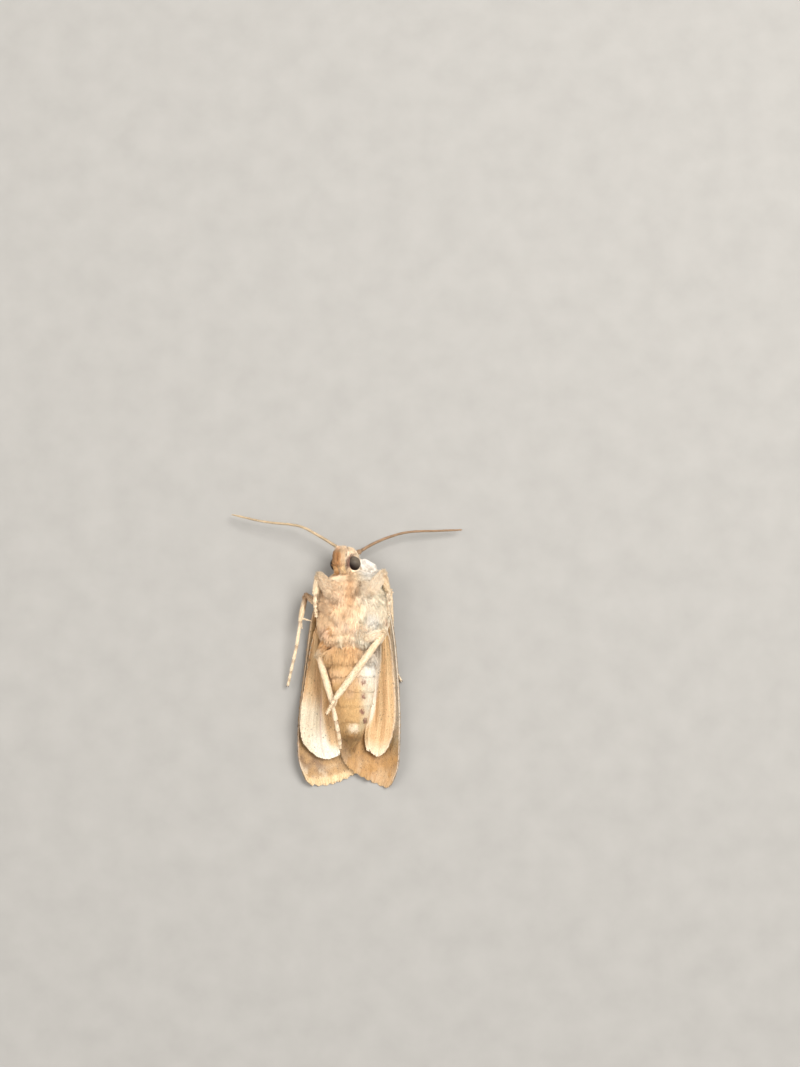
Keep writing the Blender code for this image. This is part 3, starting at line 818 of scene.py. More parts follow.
def body_lie(points, normals):
    """The way the coat lies: back along the trunk and a little outwards, forwards on the face."""
    x, y, z = points.T
    outwards = unit(np.column_stack([x - 0.3, np.zeros_like(x), 0.4 * (z - 2.6)]))
    flow = np.array((0.0, -1.0, 0.0)) + outwards * (0.5 * ease(WAIST_Y, 5.0, y))[:, None]
    face = ease(9.3, 9.9, y)[:, None]
    flow = flow * (1 - face) + (np.array((0.0, 0.9, 0.25)) + 0.5 * outwards) * face
    flow[:, 0] += 0.9 * (face_tuft(x) - x) * ease(10.1, 10.7, y)
    for eye in EYES:
        flow += 1.6 * unit(points - eye) * ease(1.2, 0.75, distance(points, eye))[:, None]
    collar = on_collar(points)[:, None]
    flow = flow * (1 - collar) + np.array((0.75, -0.65, 0.0)) * collar
    lie = flat_to(flow, normals)
    return turned(lie, normals, 0.28 * noise(points, 1.3, 3) + 0.12 * noise(points, 0.45, 4))


def skin_patch(skin, gap, low, high, rng, reach):
    """A patch of roots on the skin, about gap apart, where y is from low to high.

    Each tuft takes the marking of the place at this reach along its lie.
    """
    points, quads, normals = skin
    triangles = np.vstack([quads[:, [0, 1, 2]], quads[:, [0, 2, 3]]])
    first_y = points[triangles[:, 0], 1]
    triangles = triangles[(first_y > low) & (first_y < high)]
    chosen, weights = scattered(points, triangles, gap, rng)
    corners = triangles[chosen]
    roots = np.einsum("nk,nkj->nj", weights, points[corners])
    facing = unit(np.einsum("nk,nkj->nj", weights, normals[corners]))
    clear = np.ones(len(roots), bool)
    for eye in EYES:
        clear &= distance(roots, eye) > EYE_RADIUS + 0.02
    roots, facing = roots[clear], facing[clear]
    lie = body_lie(roots, facing)
    return roots, lie, facing, body_colour(roots + lie * reach), around_trunk(roots)


def trunk_skin():
    """Points, quads and normals of the skin, which lies inside the solids by the coat's depth."""
    points, quads, normals = one_skin()
    points = points - normals * (coat_depth(points) + SKIN_JOIN)[:, None]
    y = points[:, 1]
    behind = ease(WAIST_Y, WAIST_Y - 0.4, y)
    points = points + normals * (SEGMENT_STEP * (segment_share(y) - 0.5) * behind)[:, None]
    points[:, 2] = np.maximum(points[:, 2], LOWEST_SKIN)
    return points, quads, normals


def thorax_wool(roots):
    """Length and lift of the wool: longer and steeper on the sides, at the hinges and at the waist."""
    x, y, z = roots.T
    on_side = ease(2.0, 3.0, np.abs(x - 0.35)) * ease(8.2, 6.8, y)
    on_side *= ease(3.9, 3.2, z)
    on_hinge = on_side * ease(3.2, 2.4, z) * ease(2.0, 3.0, y)
    at_waist = ease(2.4, 1.3, y) * (0.75 + 0.25 * ease(0.8, 1.8, np.abs(x - TRUNK_X)))
    length = 1.2 + 0.3 * on_side + 0.35 * on_hinge + 0.5 * at_waist - 0.4 * ease(6.5, 8.8, y)
    return length, np.radians(18 + 25 * on_side + 15 * at_waist)


def head_hair(roots):
    """Length and lift of the head's hair: long in the face's tufts, short in the notch between."""
    x, y, _ = roots.T
    tuft_length = np.where(x < NOTCH_X, 0.55, 0.12)
    length = 0.3 + tuft_length * ease(10.3, 10.9, y) * ease(0.55, 0.1, np.abs(x - face_tuft(x)))
    length += 0.3 * ease(9.6, 9.2, y)
    length *= 1 - 0.65 * peak(x, -0.3, 0.22) * ease(10.1, 10.5, y)
    return length, np.radians(30 - 18 * on_collar(roots))


def add_trunk(wool, scales, skin_finish):
    rng = np.random.default_rng(SEED)
    skin = trunk_skin()
    piece = add_mesh("body_skin", skin[0], [skin[1]], skin_finish, body_colour(skin[0]))
    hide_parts(*SKIN_NODES)

    patch = skin_patch(skin, 0.08, WAIST_Y - 0.4, 9.0, rng, 0.6)
    length, lift = thorax_wool(patch[0])
    coat("thorax_wool", patch, HAIR, length, 0.052, lift, wool, rng,
         hug=0.22, bend=0.07, clump=0.1, clump_size=0.6, shade=0.18, vary=0.05)
    patch = skin_patch(skin, 0.085, 8.9, math.inf, rng, 0.2)
    length, lift = head_hair(patch[0])
    coat("head_hair", patch, HAIR, length, 0.045, lift, wool, rng,
         hug=0.5, clump=0.3, clump_size=0.35, shade=0.2)
    patch = skin_patch(skin, 0.135, -math.inf, WAIST_Y + 0.25, rng, 0.2)
    y = patch[0][:, 1]
    length = 0.46 + 0.05 * ease(0.5, 0.75, segment_share(y))
    lift = np.radians(11 + 9 * ease(-1.2, 0.4, y))
    coat("abdomen_scales", patch, SCALE, length, 0.16, lift, scales, rng,
         hug=0.1, bend=0.06, sink=0.0, shade=0.08, vary=0.05)
    patch = skin_patch(skin, 0.115, -math.inf, WAIST_Y + 0.2, rng, 0.25)
    length = 0.5 + 0.4 * ease(-1.0, -1.8, patch[0][:, 0])
    coat("flank_hair", patch, FINE_HAIR, length, 0.045, math.radians(20), wool, rng,
         hug=0.3, clump=0.1, shade=0.08)
    patch = skin_patch(skin, 0.095, -math.inf, TAIL_Y, rng, 0.3)
    length = 0.6 + 0.7 * ease(TAIL_Y, -8.2, patch[0][:, 1])
    coat("tail_tuft", patch, HAIR, length, 0.06, math.radians(16), wool, rng,
         hug=0.25, bend=0.2, clump=0.3, clump_size=0.5, shade=0.2)


# ------------------------------------------------------------------ eyes, palps and tongue


def eyeball(subdivisions):
    """Points and triangles of a ball of the eye's size about the origin."""
    shape = bmesh.new()
    bmesh.ops.create_icosphere(shape, subdivisions=subdivisions, radius=EYE_RADIUS)
    points = np.array([vertex.co for vertex in shape.verts])
    faces = np.array([[vertex.index for vertex in face.verts] for face in shape.faces])
    shape.free()
    return points, faces


def add_eyes(finish):
    """Balls of six-sided facets: a fine ball whose points at a coarser ball's corners stand out."""
    points, faces = eyeball(5)
    tree = tree_of(eyeball(4)[0])
    gaps = np.array([tree.find(point)[2] for point in points])
    raised = gaps < EYE_RADIUS * 0.001
    points = points * (1 + np.where(raised, FACET_HEIGHT, 0.0) / EYE_RADIUS)[:, None]
    # Painted reflection: each eye is paler on its side towards +X and +Y and nearly black on the other,
    # a sheen of the light painted into its tint.
    paler = ease(-0.35, 0.85, points @ np.array((0.6, 0.75, 0.15)) / EYE_RADIUS)
    paler *= 0.85 + 0.15 * noise(points, 0.4, 7)
    tint = mix((0.006, 0.001, 0.001), (0.14, 0.115, 0.09), paler)
    tint = np.where(raised[:, None], tint * 1.5, tint)
    for centre, word in zip(EYES, ("left", "right")):
        piece = add_mesh(f"compound_eye_{word}", points + centre, [faces], finish, tint)
        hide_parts(f"eye_{word}")


def limb_patch(limb, gap, colour_at, strip, strips, rng):
    """A patch of roots on a limb, about gap apart, with its own strip of the unwrap.

    colour_at(points, share) gives the colours there, from the points and their shares of the length.
    """
    area = limb.length * 2 * math.pi * limb.rows[:, 3].mean()
    wanted = int(4 * area / gap**2) + 8
    share, angle = rng.random(wanted), rng.random(wanted) * 2 * np.pi
    roots, normals, tangents = limb.at(share, angle)
    kept = spaced(roots, gap, rng)
    share, angle = share[kept], angle[kept]
    roots, normals, tangents = roots[kept], normals[kept], tangents[kept]
    lie = turned(flat_to(tangents, normals), normals, rng.normal(0, 0.15, len(kept)))
    places = np.column_stack([(strip + 0.04 + 0.92 * angle / (2 * np.pi)) / strips, share])
    return roots, lie, normals, colour_at(roots, share), places


def merged(patches):
    return tuple(np.concatenate(parts) for parts in zip(*patches))


def palp_limbs(side):
    """The three joints of a labial palp, which curves up over the face from the chin."""
    path = [(*on_head(side * PALP_OUT * k, forward, up), radius) for k, forward, up, radius in (
        (1.0, -1.3, 0.85, 0.2), (0.85, -0.5, 1.35, 0.26), (0.8, 0.5, 1.38, 0.27),
        (0.85, 1.1, 1.15, 0.21), (0.8, 1.35, 0.85, 0.14),
    )]
    return [Limb(path[:2], 6), Limb(path[1:4], 12), Limb(path[3:], 6)]


def palp_colour(points, _share=None):
    """Brown on the outer side, darkened with painted shade on the right palp's outer side, orange tan in
    front and cream along the inner edge.
    """
    x, y, _ = points.T
    patches = 0.7 * ease(0.1, 0.6, noise(points, 0.45, 8)) * ease(-1.6, -1.1, x)
    colour = layered(
        PALP_BROWN,
        # Painted shade on the right palp's outer side.
        (BROWN, ease(-1.2, -1.6, x) * 0.8),
        (CREAM, 0.9 * ease(-1.0, -0.7, x)),
        (PINK_CREAM, 0.8 * ease(10.3, 10.8, y)),
        ((0.86, 0.66, 0.38), patches),
        (ORANGE_TAN, 0.5 * ease(9.4, 8.9, y) * ease(-0.6, -1.0, x)),
    )
    return colour * (1 + 0.12 * noise(points, 0.25, 9))[:, None]


def add_palps(skin_finish, scales):
    for side, word in ((1, "left"), (-1, "right")):
        rng = np.random.default_rng(SEED + 30 + side)
        limbs = palp_limbs(side)
        points, face_sets = joined([limb.mesh() for limb in limbs])
        piece = add_mesh(f"palp_skin_{word}", points, face_sets, skin_finish,
                         palp_colour(points))
        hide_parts(f"palp_{word}")
        patch = merged([limb_patch(limb, 0.058, palp_colour, k, len(limbs), rng)
                        for k, limb in enumerate(limbs)])
        coat(f"palp_scales_{word}", patch, FINE_HAIR, 0.46, 0.055, math.radians(24), scales,
             rng, bend=0.2, clump=0.2, clump_size=0.3, shade=0.15)


def add_tongue(finish):
    """The coiled tongue between the palps."""
    turns, points = 2.3, []
    for share in np.linspace(0, 1, 60):
        angle, radius = 2 * math.pi * turns * share, 0.36 - 0.26 * share
        forward, up = 0.25 + radius * math.sin(angle), 1.3 - radius * math.cos(angle)
        points.append((*on_head(0.0, forward, up), 0.055 - 0.025 * share))
    limb = Limb(points, 120, 8)
    limb_points, face_sets = limb.mesh()
    colour = mix((0.42, 0.20, 0.07), (0.25, 0.10, 0.04), 0.5 + 0.5 * noise(limb_points, 0.12, 9))
    add_mesh("coiled_tongue", limb_points, face_sets, finish, colour)


# ------------------------------------------------------------------ antennae


ANTENNAE = dict(
    # Painted shade: the left antenna's colour is darkened to brown for the shade it lies in; the right
    # one's is the antennae's own buff.
    left=dict(base=on_head(0.5, 0.75, -0.6), colour=(0.34, 0.22, 0.13), path=[
        (1.1, 10.8, 2.0), (2.25, 11.5, 1.8), (4.0, 12.25, 1.6), (6.0, 12.75, 1.4), (9.2, 12.9, 1.1),
        (11.2, 13.0, 0.9),
    ]),
    right=dict(base=on_head(-0.5, 0.75, -0.6), colour=(0.56, 0.44, 0.29), path=[
        (-1.3, 11.2, 2.0), (-3.3, 12.4, 2.3), (-5.2, 13.3, 2.3), (-8.6, 13.75, 1.8), (-11.85, 14.5, 1.2),
    ]),
)


def antenna_colour(tone, points, _share=None):
    cloud = 0.25 * noise(points, 0.5, 11)
    return np.clip(np.array(tone) * (1 + cloud)[:, None], 0, 1)


def add_antennae(skin_finish, scales):
    for word, antenna in ANTENNAE.items():
        rng = np.random.default_rng(SEED + len(word))
        radii = np.linspace(ANTENNA_BASE_RADIUS, ANTENNA_TIP_RADIUS, len(antenna["path"]))
        thread = Limb([(*p, r) for p, r in zip(antenna["path"], radii)], 4 * ANTENNA_RINGS + 1, 10)
        joint = np.cos(2 * np.pi * thread.shares * ANTENNA_RINGS)
        thread.rows[:, 3] *= (1 - 0.1 * joint) * (1 - 0.45 * ease(0.93, 1.0, thread.shares))
        base, first = antenna["base"], np.array(antenna["path"][0])
        scape = Limb([(*base, 0.2), (*(0.5 * base + 0.5 * first), 0.27), (*first, 0.2)], 8)
        colour_at = functools.partial(antenna_colour, antenna["colour"])
        points, face_sets = joined([scape.mesh(), thread.mesh()])
        piece = add_mesh(f"antenna_skin_{word}", points, face_sets, skin_finish,
                         colour_at(points) * 0.75)
        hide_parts(f"antenna_{word}")
        patch = merged([
            limb_patch(scape, 0.08, colour_at, 0, 2, rng),
            limb_patch(thread, 0.1, colour_at, 1, 2, rng),
        ])
        coat(f"antenna_scales_{word}", patch, SMALL_SCALE, 0.17, 0.075, math.radians(10), scales,
             rng, sink=0.01)


# ------------------------------------------------------------------ legs

# Each leg's places: where it leaves the trunk, hip, knee, ankle, toes and spurs (share of the
# tibia, direction). femur, tibia, foot and knob (a round knee) are radii; shag and shaggy_foot are
# lengths of hair; thigh is the hair's colour away from the knee, and wool its strength. The hind pair
# cross on the belly.
LEGS = dict(
    fore_right=dict(femur=0.52, tibia=0.33, shag=0.75, coxa=(-0.9, 7.4, 4.1), hip=(-1.5, 6.2, 4.4),
                    knee=(-3.05, 8.3, 3.85), ankle=(-3.4, 6.4, 3.7),
                    toes=[(-3.4, 5.3, 3.6), (-3.3, 4.2, 3.5)], foot=0.19, wool=0.7, knob=0.34,
                    thigh=(0.96, 0.75, 0.54)),
    fore_left=dict(femur=0.5, tibia=0.28, shag=0.75, coxa=(0.95, 7.6, 4.1), hip=(1.8, 6.3, 4.35),
                   knee=(3.35, 8.5, 3.75), ankle=(3.75, 6.8, 3.6),
                   toes=[(3.85, 5.6, 3.4), (3.85, 4.4, 3.3)],
                   wool=0.7, thigh=(0.99, 0.86, 0.70), shaggy_foot=0.55, knob=0.42),
    mid_right=dict(femur=0.3, tibia=0.23, shag=0.4, coxa=(-1.3, 4.6, 4.3), hip=(-2.9, 5.2, 3.2),
                   wool=0.9, thigh=(0.92, 0.66, 0.42),
                   knee=(-4.4, 6.4, 2.4), ankle=(-4.95, 3.9, 2.1),
                   toes=[(-5.3, 1.5, 1.7), (-5.8, -0.7, 1.2), (-6.25, -2.6, 0.7)], foot=0.17,
                   # This leg's knee and the thigh near it are painted brown as shade from the thorax and
                   # fore leg.
                   spurs=((0.93, (0.9, -0.25, 0.1)), (0.93, (0.1, -1.0, -0.35))), knee_in_painted_shade=True),
    mid_left=dict(femur=0.3, tibia=0.22, shag=0.4, coxa=(1.5, 4.6, 4.3), hip=(3.3, 6.1, 3.0),
                  knee=(4.0, 6.9, 1.75), ankle=(4.15, 3.0, 0.7),
                  toes=[(4.3, 0.6, 0.36), (4.55, -1.0, 0.3), (5.1, -2.15, 0.3)], foot=0.13),
    hind_right=dict(femur=0.34, tibia=0.29, shag=0.8, wool=0.95, thigh=(0.78, 0.46, 0.2),
                    coxa=(-1.3, 3.1, 4.2), hip=(-1.9, 2.2, 3.65),
                    knee=(-3.05, 0.45, 4.0), ankle=(-1.65, -4.2, 4.85), foot=0.21,
                    toes=[(-1.3, -6.0, 4.6), (-1.0, -7.6, 3.9), (-0.9, -8.8, 3.2)],
                    spurs=((0.5, (0.5, -0.85, 0.1)), (0.95, (-0.1, -0.98, -0.1)))),
    hind_left=dict(femur=0.4, tibia=0.31, shag=0.6, wool=0.7, thigh=(0.98, 0.88, 0.74),
                   coxa=(0.9, 3.1, 4.5), hip=(1.3, 1.9, 4.85),
                   knee=(3.5, 2.6, 5.3), ankle=(-1.3, -3.85, 5.65), foot=0.17,
                   toes=[(-1.75, -4.6, 5.6), (-2.1, -5.3, 5.5)],
                   spurs=((0.5, (-0.5, -0.85, -0.1)), (0.95, (-0.25, -0.95, -0.2)))),
)


# Gap, length and width of the scales on a leg's long parts, and on its toes and spurs.
LEG_SCALES, TOE_SCALES = (0.09, 0.34, 0.11), (0.075, 0.2, 0.075)
# The ends of the five tarsal joints, in steps of the 40 along the foot.
TARSAL_ENDS = (0, 15, 24, 31, 36, 40)


def between(start, end, radius, shape, rings):
    """A limb from start to end, with the radius at even places given by shape."""
    places = np.linspace(0, 1, len(shape))[:, None]
    radii = radius * np.array(shape)[:, None]
    return Limb(np.hstack([start + (end - start) * places, radii]), rings)


def leg_limbs(leg):
    """The leg's parts by kind: hip, femur, tibia, the five tarsal joints, spurs and claws."""
    coxa, hip, knee, ankle = (np.array(leg[word]) for word in ("coxa", "hip", "knee", "ankle"))
    limbs = dict(
        hip=[between(coxa, hip, 0.45, (1.0, 0.95, 0.8), 8)],
        femur=[between(hip, knee, leg["femur"], (0.75, 0.95, 1.0, 0.85, 0.55), 16)],
        tibia=[between(knee, ankle, leg["tibia"], (0.65, 0.95, 1.0, 0.95, 0.75), 18)],
        tarsus=[], spurs=[], claws=[],
    )
    if "knob" in leg:
        start, knob = knee + 0.25 * unit(hip - knee), leg["knob"]
        limbs["femur"].append(Limb([(*start, knob), (*(start + (0.02, -0.35, 0.0)), knob)], 8))
    foot = smooth_path([ankle, *leg["toes"]], TARSAL_ENDS[-1] + 1)
    for k, (start, end) in enumerate(itertools.pairwise(TARSAL_ENDS)):
        thin = leg.get("foot", TARSUS_RADIUS) * (1 - 0.07 * k)
        limbs["tarsus"].append(Limb([
            (*foot[start], thin * 0.75), (*foot[(start + end) // 2], thin * 0.9),
            (*foot[end], thin * 1.12),
        ], 8, 10))
    for share, direction in leg.get("spurs", ()):
        start, way = knee + (ankle - knee) * share, unit(np.array(direction))
        limbs["spurs"].append(Limb([
            (*start, SPUR_RADIUS), (*(start + way * 0.6 * SPUR_LENGTH), SPUR_RADIUS),
            (*(start + way * SPUR_LENGTH), SPUR_RADIUS * 0.3),
        ], 8, 8))
    tip, onwards = foot[-1], unit(foot[-1] - foot[-3])
    aside = unit(np.cross(onwards, (0.0, 0.0, 1.0)))
    for side in (1, -1):
        outer = tip + onwards * 0.14 + aside * side * 0.1
        limbs["claws"].append(Limb([(*tip, 0.035), (*outer, 0.03),
                                    (*(outer + onwards * 0.1 - (0, 0, 0.05)), 0.01)], 7, 6))
    return limbs


def leg_colour(leg, points, _share=None):
    """Cream, with a buff knee, or brown painted shade over the knee that reaches onto the thigh."""
    colour = layered(
        LEG_CREAM,
        (PALE_CREAM, 0.5 + 0.5 * noise(points, 1.2, 12)),
        (BUFF, 0.2 * (0.5 + 0.5 * noise(points, 0.4, 13))),
    )
    from_knee = distance(points, leg["knee"])
    near = peak(from_knee, 0.0, 0.75)
    if not leg.get("knee_in_painted_shade"):
        return mix(colour, BUFF, near * 0.4)
    # Painted shade: brown over the knee and up the thigh on the body's side of the knee.
    thigh = np.exp(-((from_knee / 1.7) ** 4)) * (points[:, 0] > leg["knee"][0] - 0.1)
    return mix(colour, BROWN, np.maximum(near, thigh) * 0.95)


def toe_colour(leg, points, share):
    """Each tarsal joint is brown at its start."""
    return mix(leg_colour(leg, points), BROWN, 0.55 * ease(0.35, 0.0, share))


def hair_colour(leg, points, _share=None):
    """Away from the knee, the thigh's own colour or the body's."""
    around = np.array(leg["thigh"]) if "thigh" in leg else body_colour(points)
    reach = ease(0.4, 1.2, distance(points, leg["knee"]))
    return mix(leg_colour(leg, points), around, leg.get("wool", 0.6) * reach)


def add_legs(skin_finish, scales, claw_finish):
    for number, (word, leg) in enumerate(LEGS.items()):
        rng = np.random.default_rng(SEED + 50 + number)
        limbs = leg_limbs(leg)
        plain, toe, woolly = (
            functools.partial(paint, leg) for paint in (leg_colour, toe_colour, hair_colour)
        )
        body = limbs["hip"] + limbs["femur"] + limbs["tibia"] + limbs["tarsus"] + limbs["spurs"]
        points, face_sets = joined([limb.mesh() for limb in body])
        piece = add_mesh(f"leg_skin_{word}", points, face_sets, skin_finish,
                         plain(points) * 0.8)
        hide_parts(f"leg_{word}")
        claws, claw_faces = joined([limb.mesh() for limb in limbs["claws"]])
        add_mesh(f"claws_{word}", claws, claw_faces, claw_finish,
                 mix(DARK_BROWN, BROWN, 0.5 + 0.5 * noise(claws, 0.1, 14)))

        patches, sizes = [], []
        for strip, limb in enumerate(body):
            small = limb in limbs["tarsus"] + limbs["spurs"]
            gap, *size = TOE_SCALES if small else LEG_SCALES
            paint = toe if limb in limbs["tarsus"] else plain
            patches.append(limb_patch(limb, gap, paint, strip, len(body), rng))
            sizes += [size] * len(patches[-1][0])
        lengths, widths = np.array(sizes).T
        coat(f"leg_scales_{word}", merged(patches), SMALL_SCALE, lengths, widths, math.radians(10),
             scales, rng, sink=0.015, vary=0.07)

        hairy = [limb_patch(limbs["hip"][0], 0.07, woolly, 0, 3, rng),
                 limb_patch(limbs["femur"][0], 0.075, woolly, 1, 3, rng),
                 limb_patch(limbs["tibia"][0], 0.12, plain, 2, 3, rng)]
        hair = [0.9, leg["shag"], max(0.45, leg.get("shaggy_foot", 0.0))]
        if "shaggy_foot" in leg:
            hairy += [limb_patch(limb, 0.09, woolly, 2, 3, rng) for limb in limbs["tarsus"]]
            hair += [leg["shaggy_foot"]] * len(limbs["tarsus"])
        lengths = np.repeat(hair, [len(patch[0]) for patch in hairy])
        coat(f"leg_hair_{word}", merged(hairy), FINE_HAIR, lengths, 0.045, math.radians(22), scales,
             rng, clump=0.25, clump_size=0.4, shade=0.2)


# ------------------------------------------------------------------ wings

# Each wing's edges in the floor's plane: the leading and trailing edge run from the root outwards.
WINGS = dict(
    forewing_left=dict(
        leading=[(3.7, 5.6), (4.1, 4.2), (4.45, 2), (4.78, -1.5), (4.98, -6), (4.85, -10.3),
                 (4.3, -12.2)],
        outer=[(4.3, -12.2), (3.7, -12.9), (2.5, -12.5), (0.8, -11.6), (-0.3, -10.7), (-0.95, -9.5)],
        trailing=[(3.0, 3.2), (1.1, 1.0), (0.1, -2), (-0.6, -6), (-0.95, -9.5)],
        root=[(3.7, 5.6), (3.35, 4.4), (3.0, 3.2)], raised=True),
    forewing_right=dict(
        leading=[(-3.3, 5.8), (-3.8, 4.2), (-4.15, 2), (-4.6, -1.5), (-5.1, -6), (-5.1, -9.8),
                 (-4.5, -11.8)],
        outer=[(-4.5, -11.8), (-3.9, -12.6), (-2.6, -12.7), (-1, -12.3), (0.6, -11.4), (1.45, -10.2)],
        trailing=[(-2.5, 3.4), (-0.9, 1.2), (0.1, -1.2), (0.9, -5.5), (1.45, -10.2)],
        root=[(-3.3, 5.8), (-2.9, 4.6), (-2.5, 3.4)], raised=False),
    hindwing_left=dict(
        leading=[(3.3, 3.8), (4.0, 1.8), (4.4, -2), (4.55, -5.5), (4.15, -8), (3.45, -9.3)],
        outer=[(3.45, -9.3), (2.75, -9.75), (2.05, -9.3)],
        trailing=[(2.8, 2.4), (2.3, -1), (2.15, -5), (1.75, -7.6), (2.05, -9.3)],
        root=[(3.3, 3.8), (3.05, 3.1), (2.8, 2.4)], raised=True),
    hindwing_right=dict(
        leading=[(-3.1, 4.0), (-3.9, 1.2), (-4.5, -2.5), (-4.95, -6), (-4.75, -8), (-4.1, -9)],
        outer=[(-4.1, -9), (-3.2, -9.75), (-2.2, -10), (-1.25, -9.7)],
        trailing=[(-2.5, 2.6), (-1.9, -1), (-1.6, -5.5), (-1.25, -9.7)],
        root=[(-3.1, 4.0), (-2.8, 3.3), (-2.5, 2.6)], raised=False),
)
# Where each vein runs across the wing: at the root, in the middle and at the end.
VEINS = (
    (0.1, 0.35, 0.06), (0.3, 0.3, 0.2), (0.3, 0.45, 0.32), (0.45, 0.5, 0.44),
    (0.45, 0.55, 0.56), (0.6, 0.6, 0.68), (0.62, 0.66, 0.8), (0.82, 0.85, 0.92),
)
HINDWING_CROWN, PLEAT_HEIGHT = 0.4, 0.04
ROOT_ALONG = -0.06
WING_SCALES = (0.115, 0.24, 0.13)  # gap, length and width
FRINGE_GAP, INNER_GAP, FRINGE_WIDTH = 0.05, 0.045, 0.08
FRINGE_SHARES = (1.0, 0.78, 0.55)  # length of each pair of layers, belly side and back
FRINGE_OVERLAP = 1.02
INNER_LENGTH = 0.42


def wing_floor(x, y, raised):
    """Height of a forewing's outer face, as in the solids."""
    out = np.abs(x)
    height = TROUGH_RISE * (np.maximum(0.0, out - TROUGH_START) / TROUGH_WIDTH) ** TROUGH_POWER
    height += HINGE_RISE * ease(-1.0, 5.0, y) * ease(2.2, 3.6, out)
    if raised:
        height += OVERLAP_RAISE * (1 - ease(1.5, 2.6, x))
    return height


class Wing:
    """A wing's thin sheet; its places are (along, across) from 0 to 1, from root and leading edge.

    Places before the root, down to ROOT_ALONG, run level into the thorax.
    """

    def __init__(self, name, leading, outer, trailing, root, raised):
        self.name, self.raised, self.hind = name, raised, name.startswith("hind")
        self.edges = [smooth_path(edge, PATH_POINTS) for edge in (leading, trailing, root, outer)]
        self.shares = np.linspace(0, 1, PATH_POINTS)
        self.size = path_length(self.edges[0])
        self.reach = 1 - (HIND_FRINGE_LENGTH if self.hind else FRINGE_LENGTH) / self.size

    def flat(self, along, across):
        """Places in the floor's plane, on the patch between the four edges."""
        leading, trailing = (columns_at(edge, self.shares, along) for edge in self.edges[:2])
        root, outer = (columns_at(edge, self.shares, across) for edge in self.edges[2:])
        s, t = np.maximum(along, 0.0)[:, None], across[:, None]
        ends = [edge[k] for k in (0, -1) for edge in self.edges[:2]]
        corners = (1 - s) * ((1 - t) * ends[0] + t * ends[1]) + s * ((1 - t) * ends[2] + t * ends[3])
        return (1 - t) * leading + t * trailing + (1 - s) * root + s * outer - corners

    def folds(self, along, across):
        """The hind wing's crown and the soft pleats that fan out from its root."""
        if not self.hind:
            return 0.03 * np.sin(9 * across + 2) * ease(0.3, 1.0, along)
        crown = HINDWING_CROWN
        for share in (along, across):
            crown = crown * np.sin(np.pi * np.clip(share, 0, 1))
        # Known fault: just outside the front edge, across is below 0, and this isn't a number.
        waves = np.sin(2 * np.pi * (3.1 * across**1.2 + 0.15 * self.raised) + 0.6)
        return crown + PLEAT_HEIGHT * waves * ease(0.1, 0.7, along) * ease(0.05, 0.3, across)

    def veins(self, along, across):
        """Height of the veins, from 0 to 1."""
        height = np.zeros(len(along))
        for near, middle, far in VEINS:
            course = near + (middle - near) * ease(0.0, 0.5, along)
            course = course + (far - middle) * ease(0.45, 1.0, along)
            height = np.maximum(height, peak(across, course, VEIN_WIDTH))
        return height * ease(0.02, 0.1, along) * (1 - 0.5 * along)

    def middle(self, along, across):
        flat = self.flat(along, across)
        x, y = flat.T
        step = 0.01
        rise_x, rise_y = (
            wing_floor(x + dx, y + dy, self.raised) - wing_floor(x - dx, y - dy, self.raised)
            for dx, dy in ((step, 0.0), (0.0, step))
        )
        steep = np.sqrt(1 + (rise_x / (2 * step)) ** 2 + (rise_y / (2 * step)) ** 2)
        lift = HINDWING_LIFT if self.hind else FOREWING_LIFT
        height = wing_floor(x, y, self.raised) + lift * steep + self.folds(along, across)
        inwards = np.minimum(along, 0.0) * self.size * np.sign(self.edges[2][0, 0]) * (1 - 0.9 * across)
        return np.column_stack([x + inwards, y, height])

    def over_edge(self, along):
        """The way across the wing, over its trailing edge."""
        inner, edge = (self.middle(along, np.full(len(along), across)) for across in (0.96, 1.0))
        return unit(edge - inner)

    def at(self, along, across, face):
        """Points on the belly side (face 1) or the back side (face -1), their normals and the lie."""
        step = 0.004
        middle = self.middle(along, across)
        on = self.middle(along + step, across) - self.middle(along - step, across)
        over = self.middle(along, across + step) - self.middle(along, across - step)
        normals = unit(np.cross(on, over))
        normals *= np.sign(normals[:, 2:]) * face
        costa = peak(across, 0.0, 0.035)
        half = (SHEET_THICKNESS + (COSTA_THICKNESS * (1 - 0.6 * along) - SHEET_THICKNESS) * costa) / 2
        half += VEIN_HEIGHT * self.veins(along, across)
        return middle + normals * half[:, None], normals, flat_to(on, normals)

    def mesh(self, rows=150, columns=64):
        """Points and faces of the closed sheet, and its points' places and faces."""
        along = np.repeat(np.linspace(ROOT_ALONG, self.reach, rows), 2 * columns)
        one_row = np.linspace(0, 1, columns) ** 1.15
        across = np.tile(np.concatenate([one_row, one_row[::-1]]), rows)
        face = np.tile(np.repeat([1.0, -1.0], columns), rows)
        belly, back = (self.at(along, across, side)[0] for side in (1, -1))
        points = np.where(face[:, None] > 0, belly, back)
        sides = grid_faces(rows, 2 * columns, wrap=True)
        k = np.arange(columns - 1)
        cap = np.column_stack([k, k + 1, 2 * columns - 2 - k, 2 * columns - 1 - k])
        end = cap[:, ::-1] + (rows - 1) * 2 * columns
        return points, [outward(points, np.vstack([sides, cap, end]))], along, across, face


def outward(points, quads):
    """The quads of a closed shape, turned so that they face out."""
    a, b, c, d = (points[quads[:, k]] for k in range(4))
    volume = np.sum(np.cross(a, b) * c) + np.sum(np.cross(a, c) * d)
    return quads if volume > 0 else quads[:, ::-1]


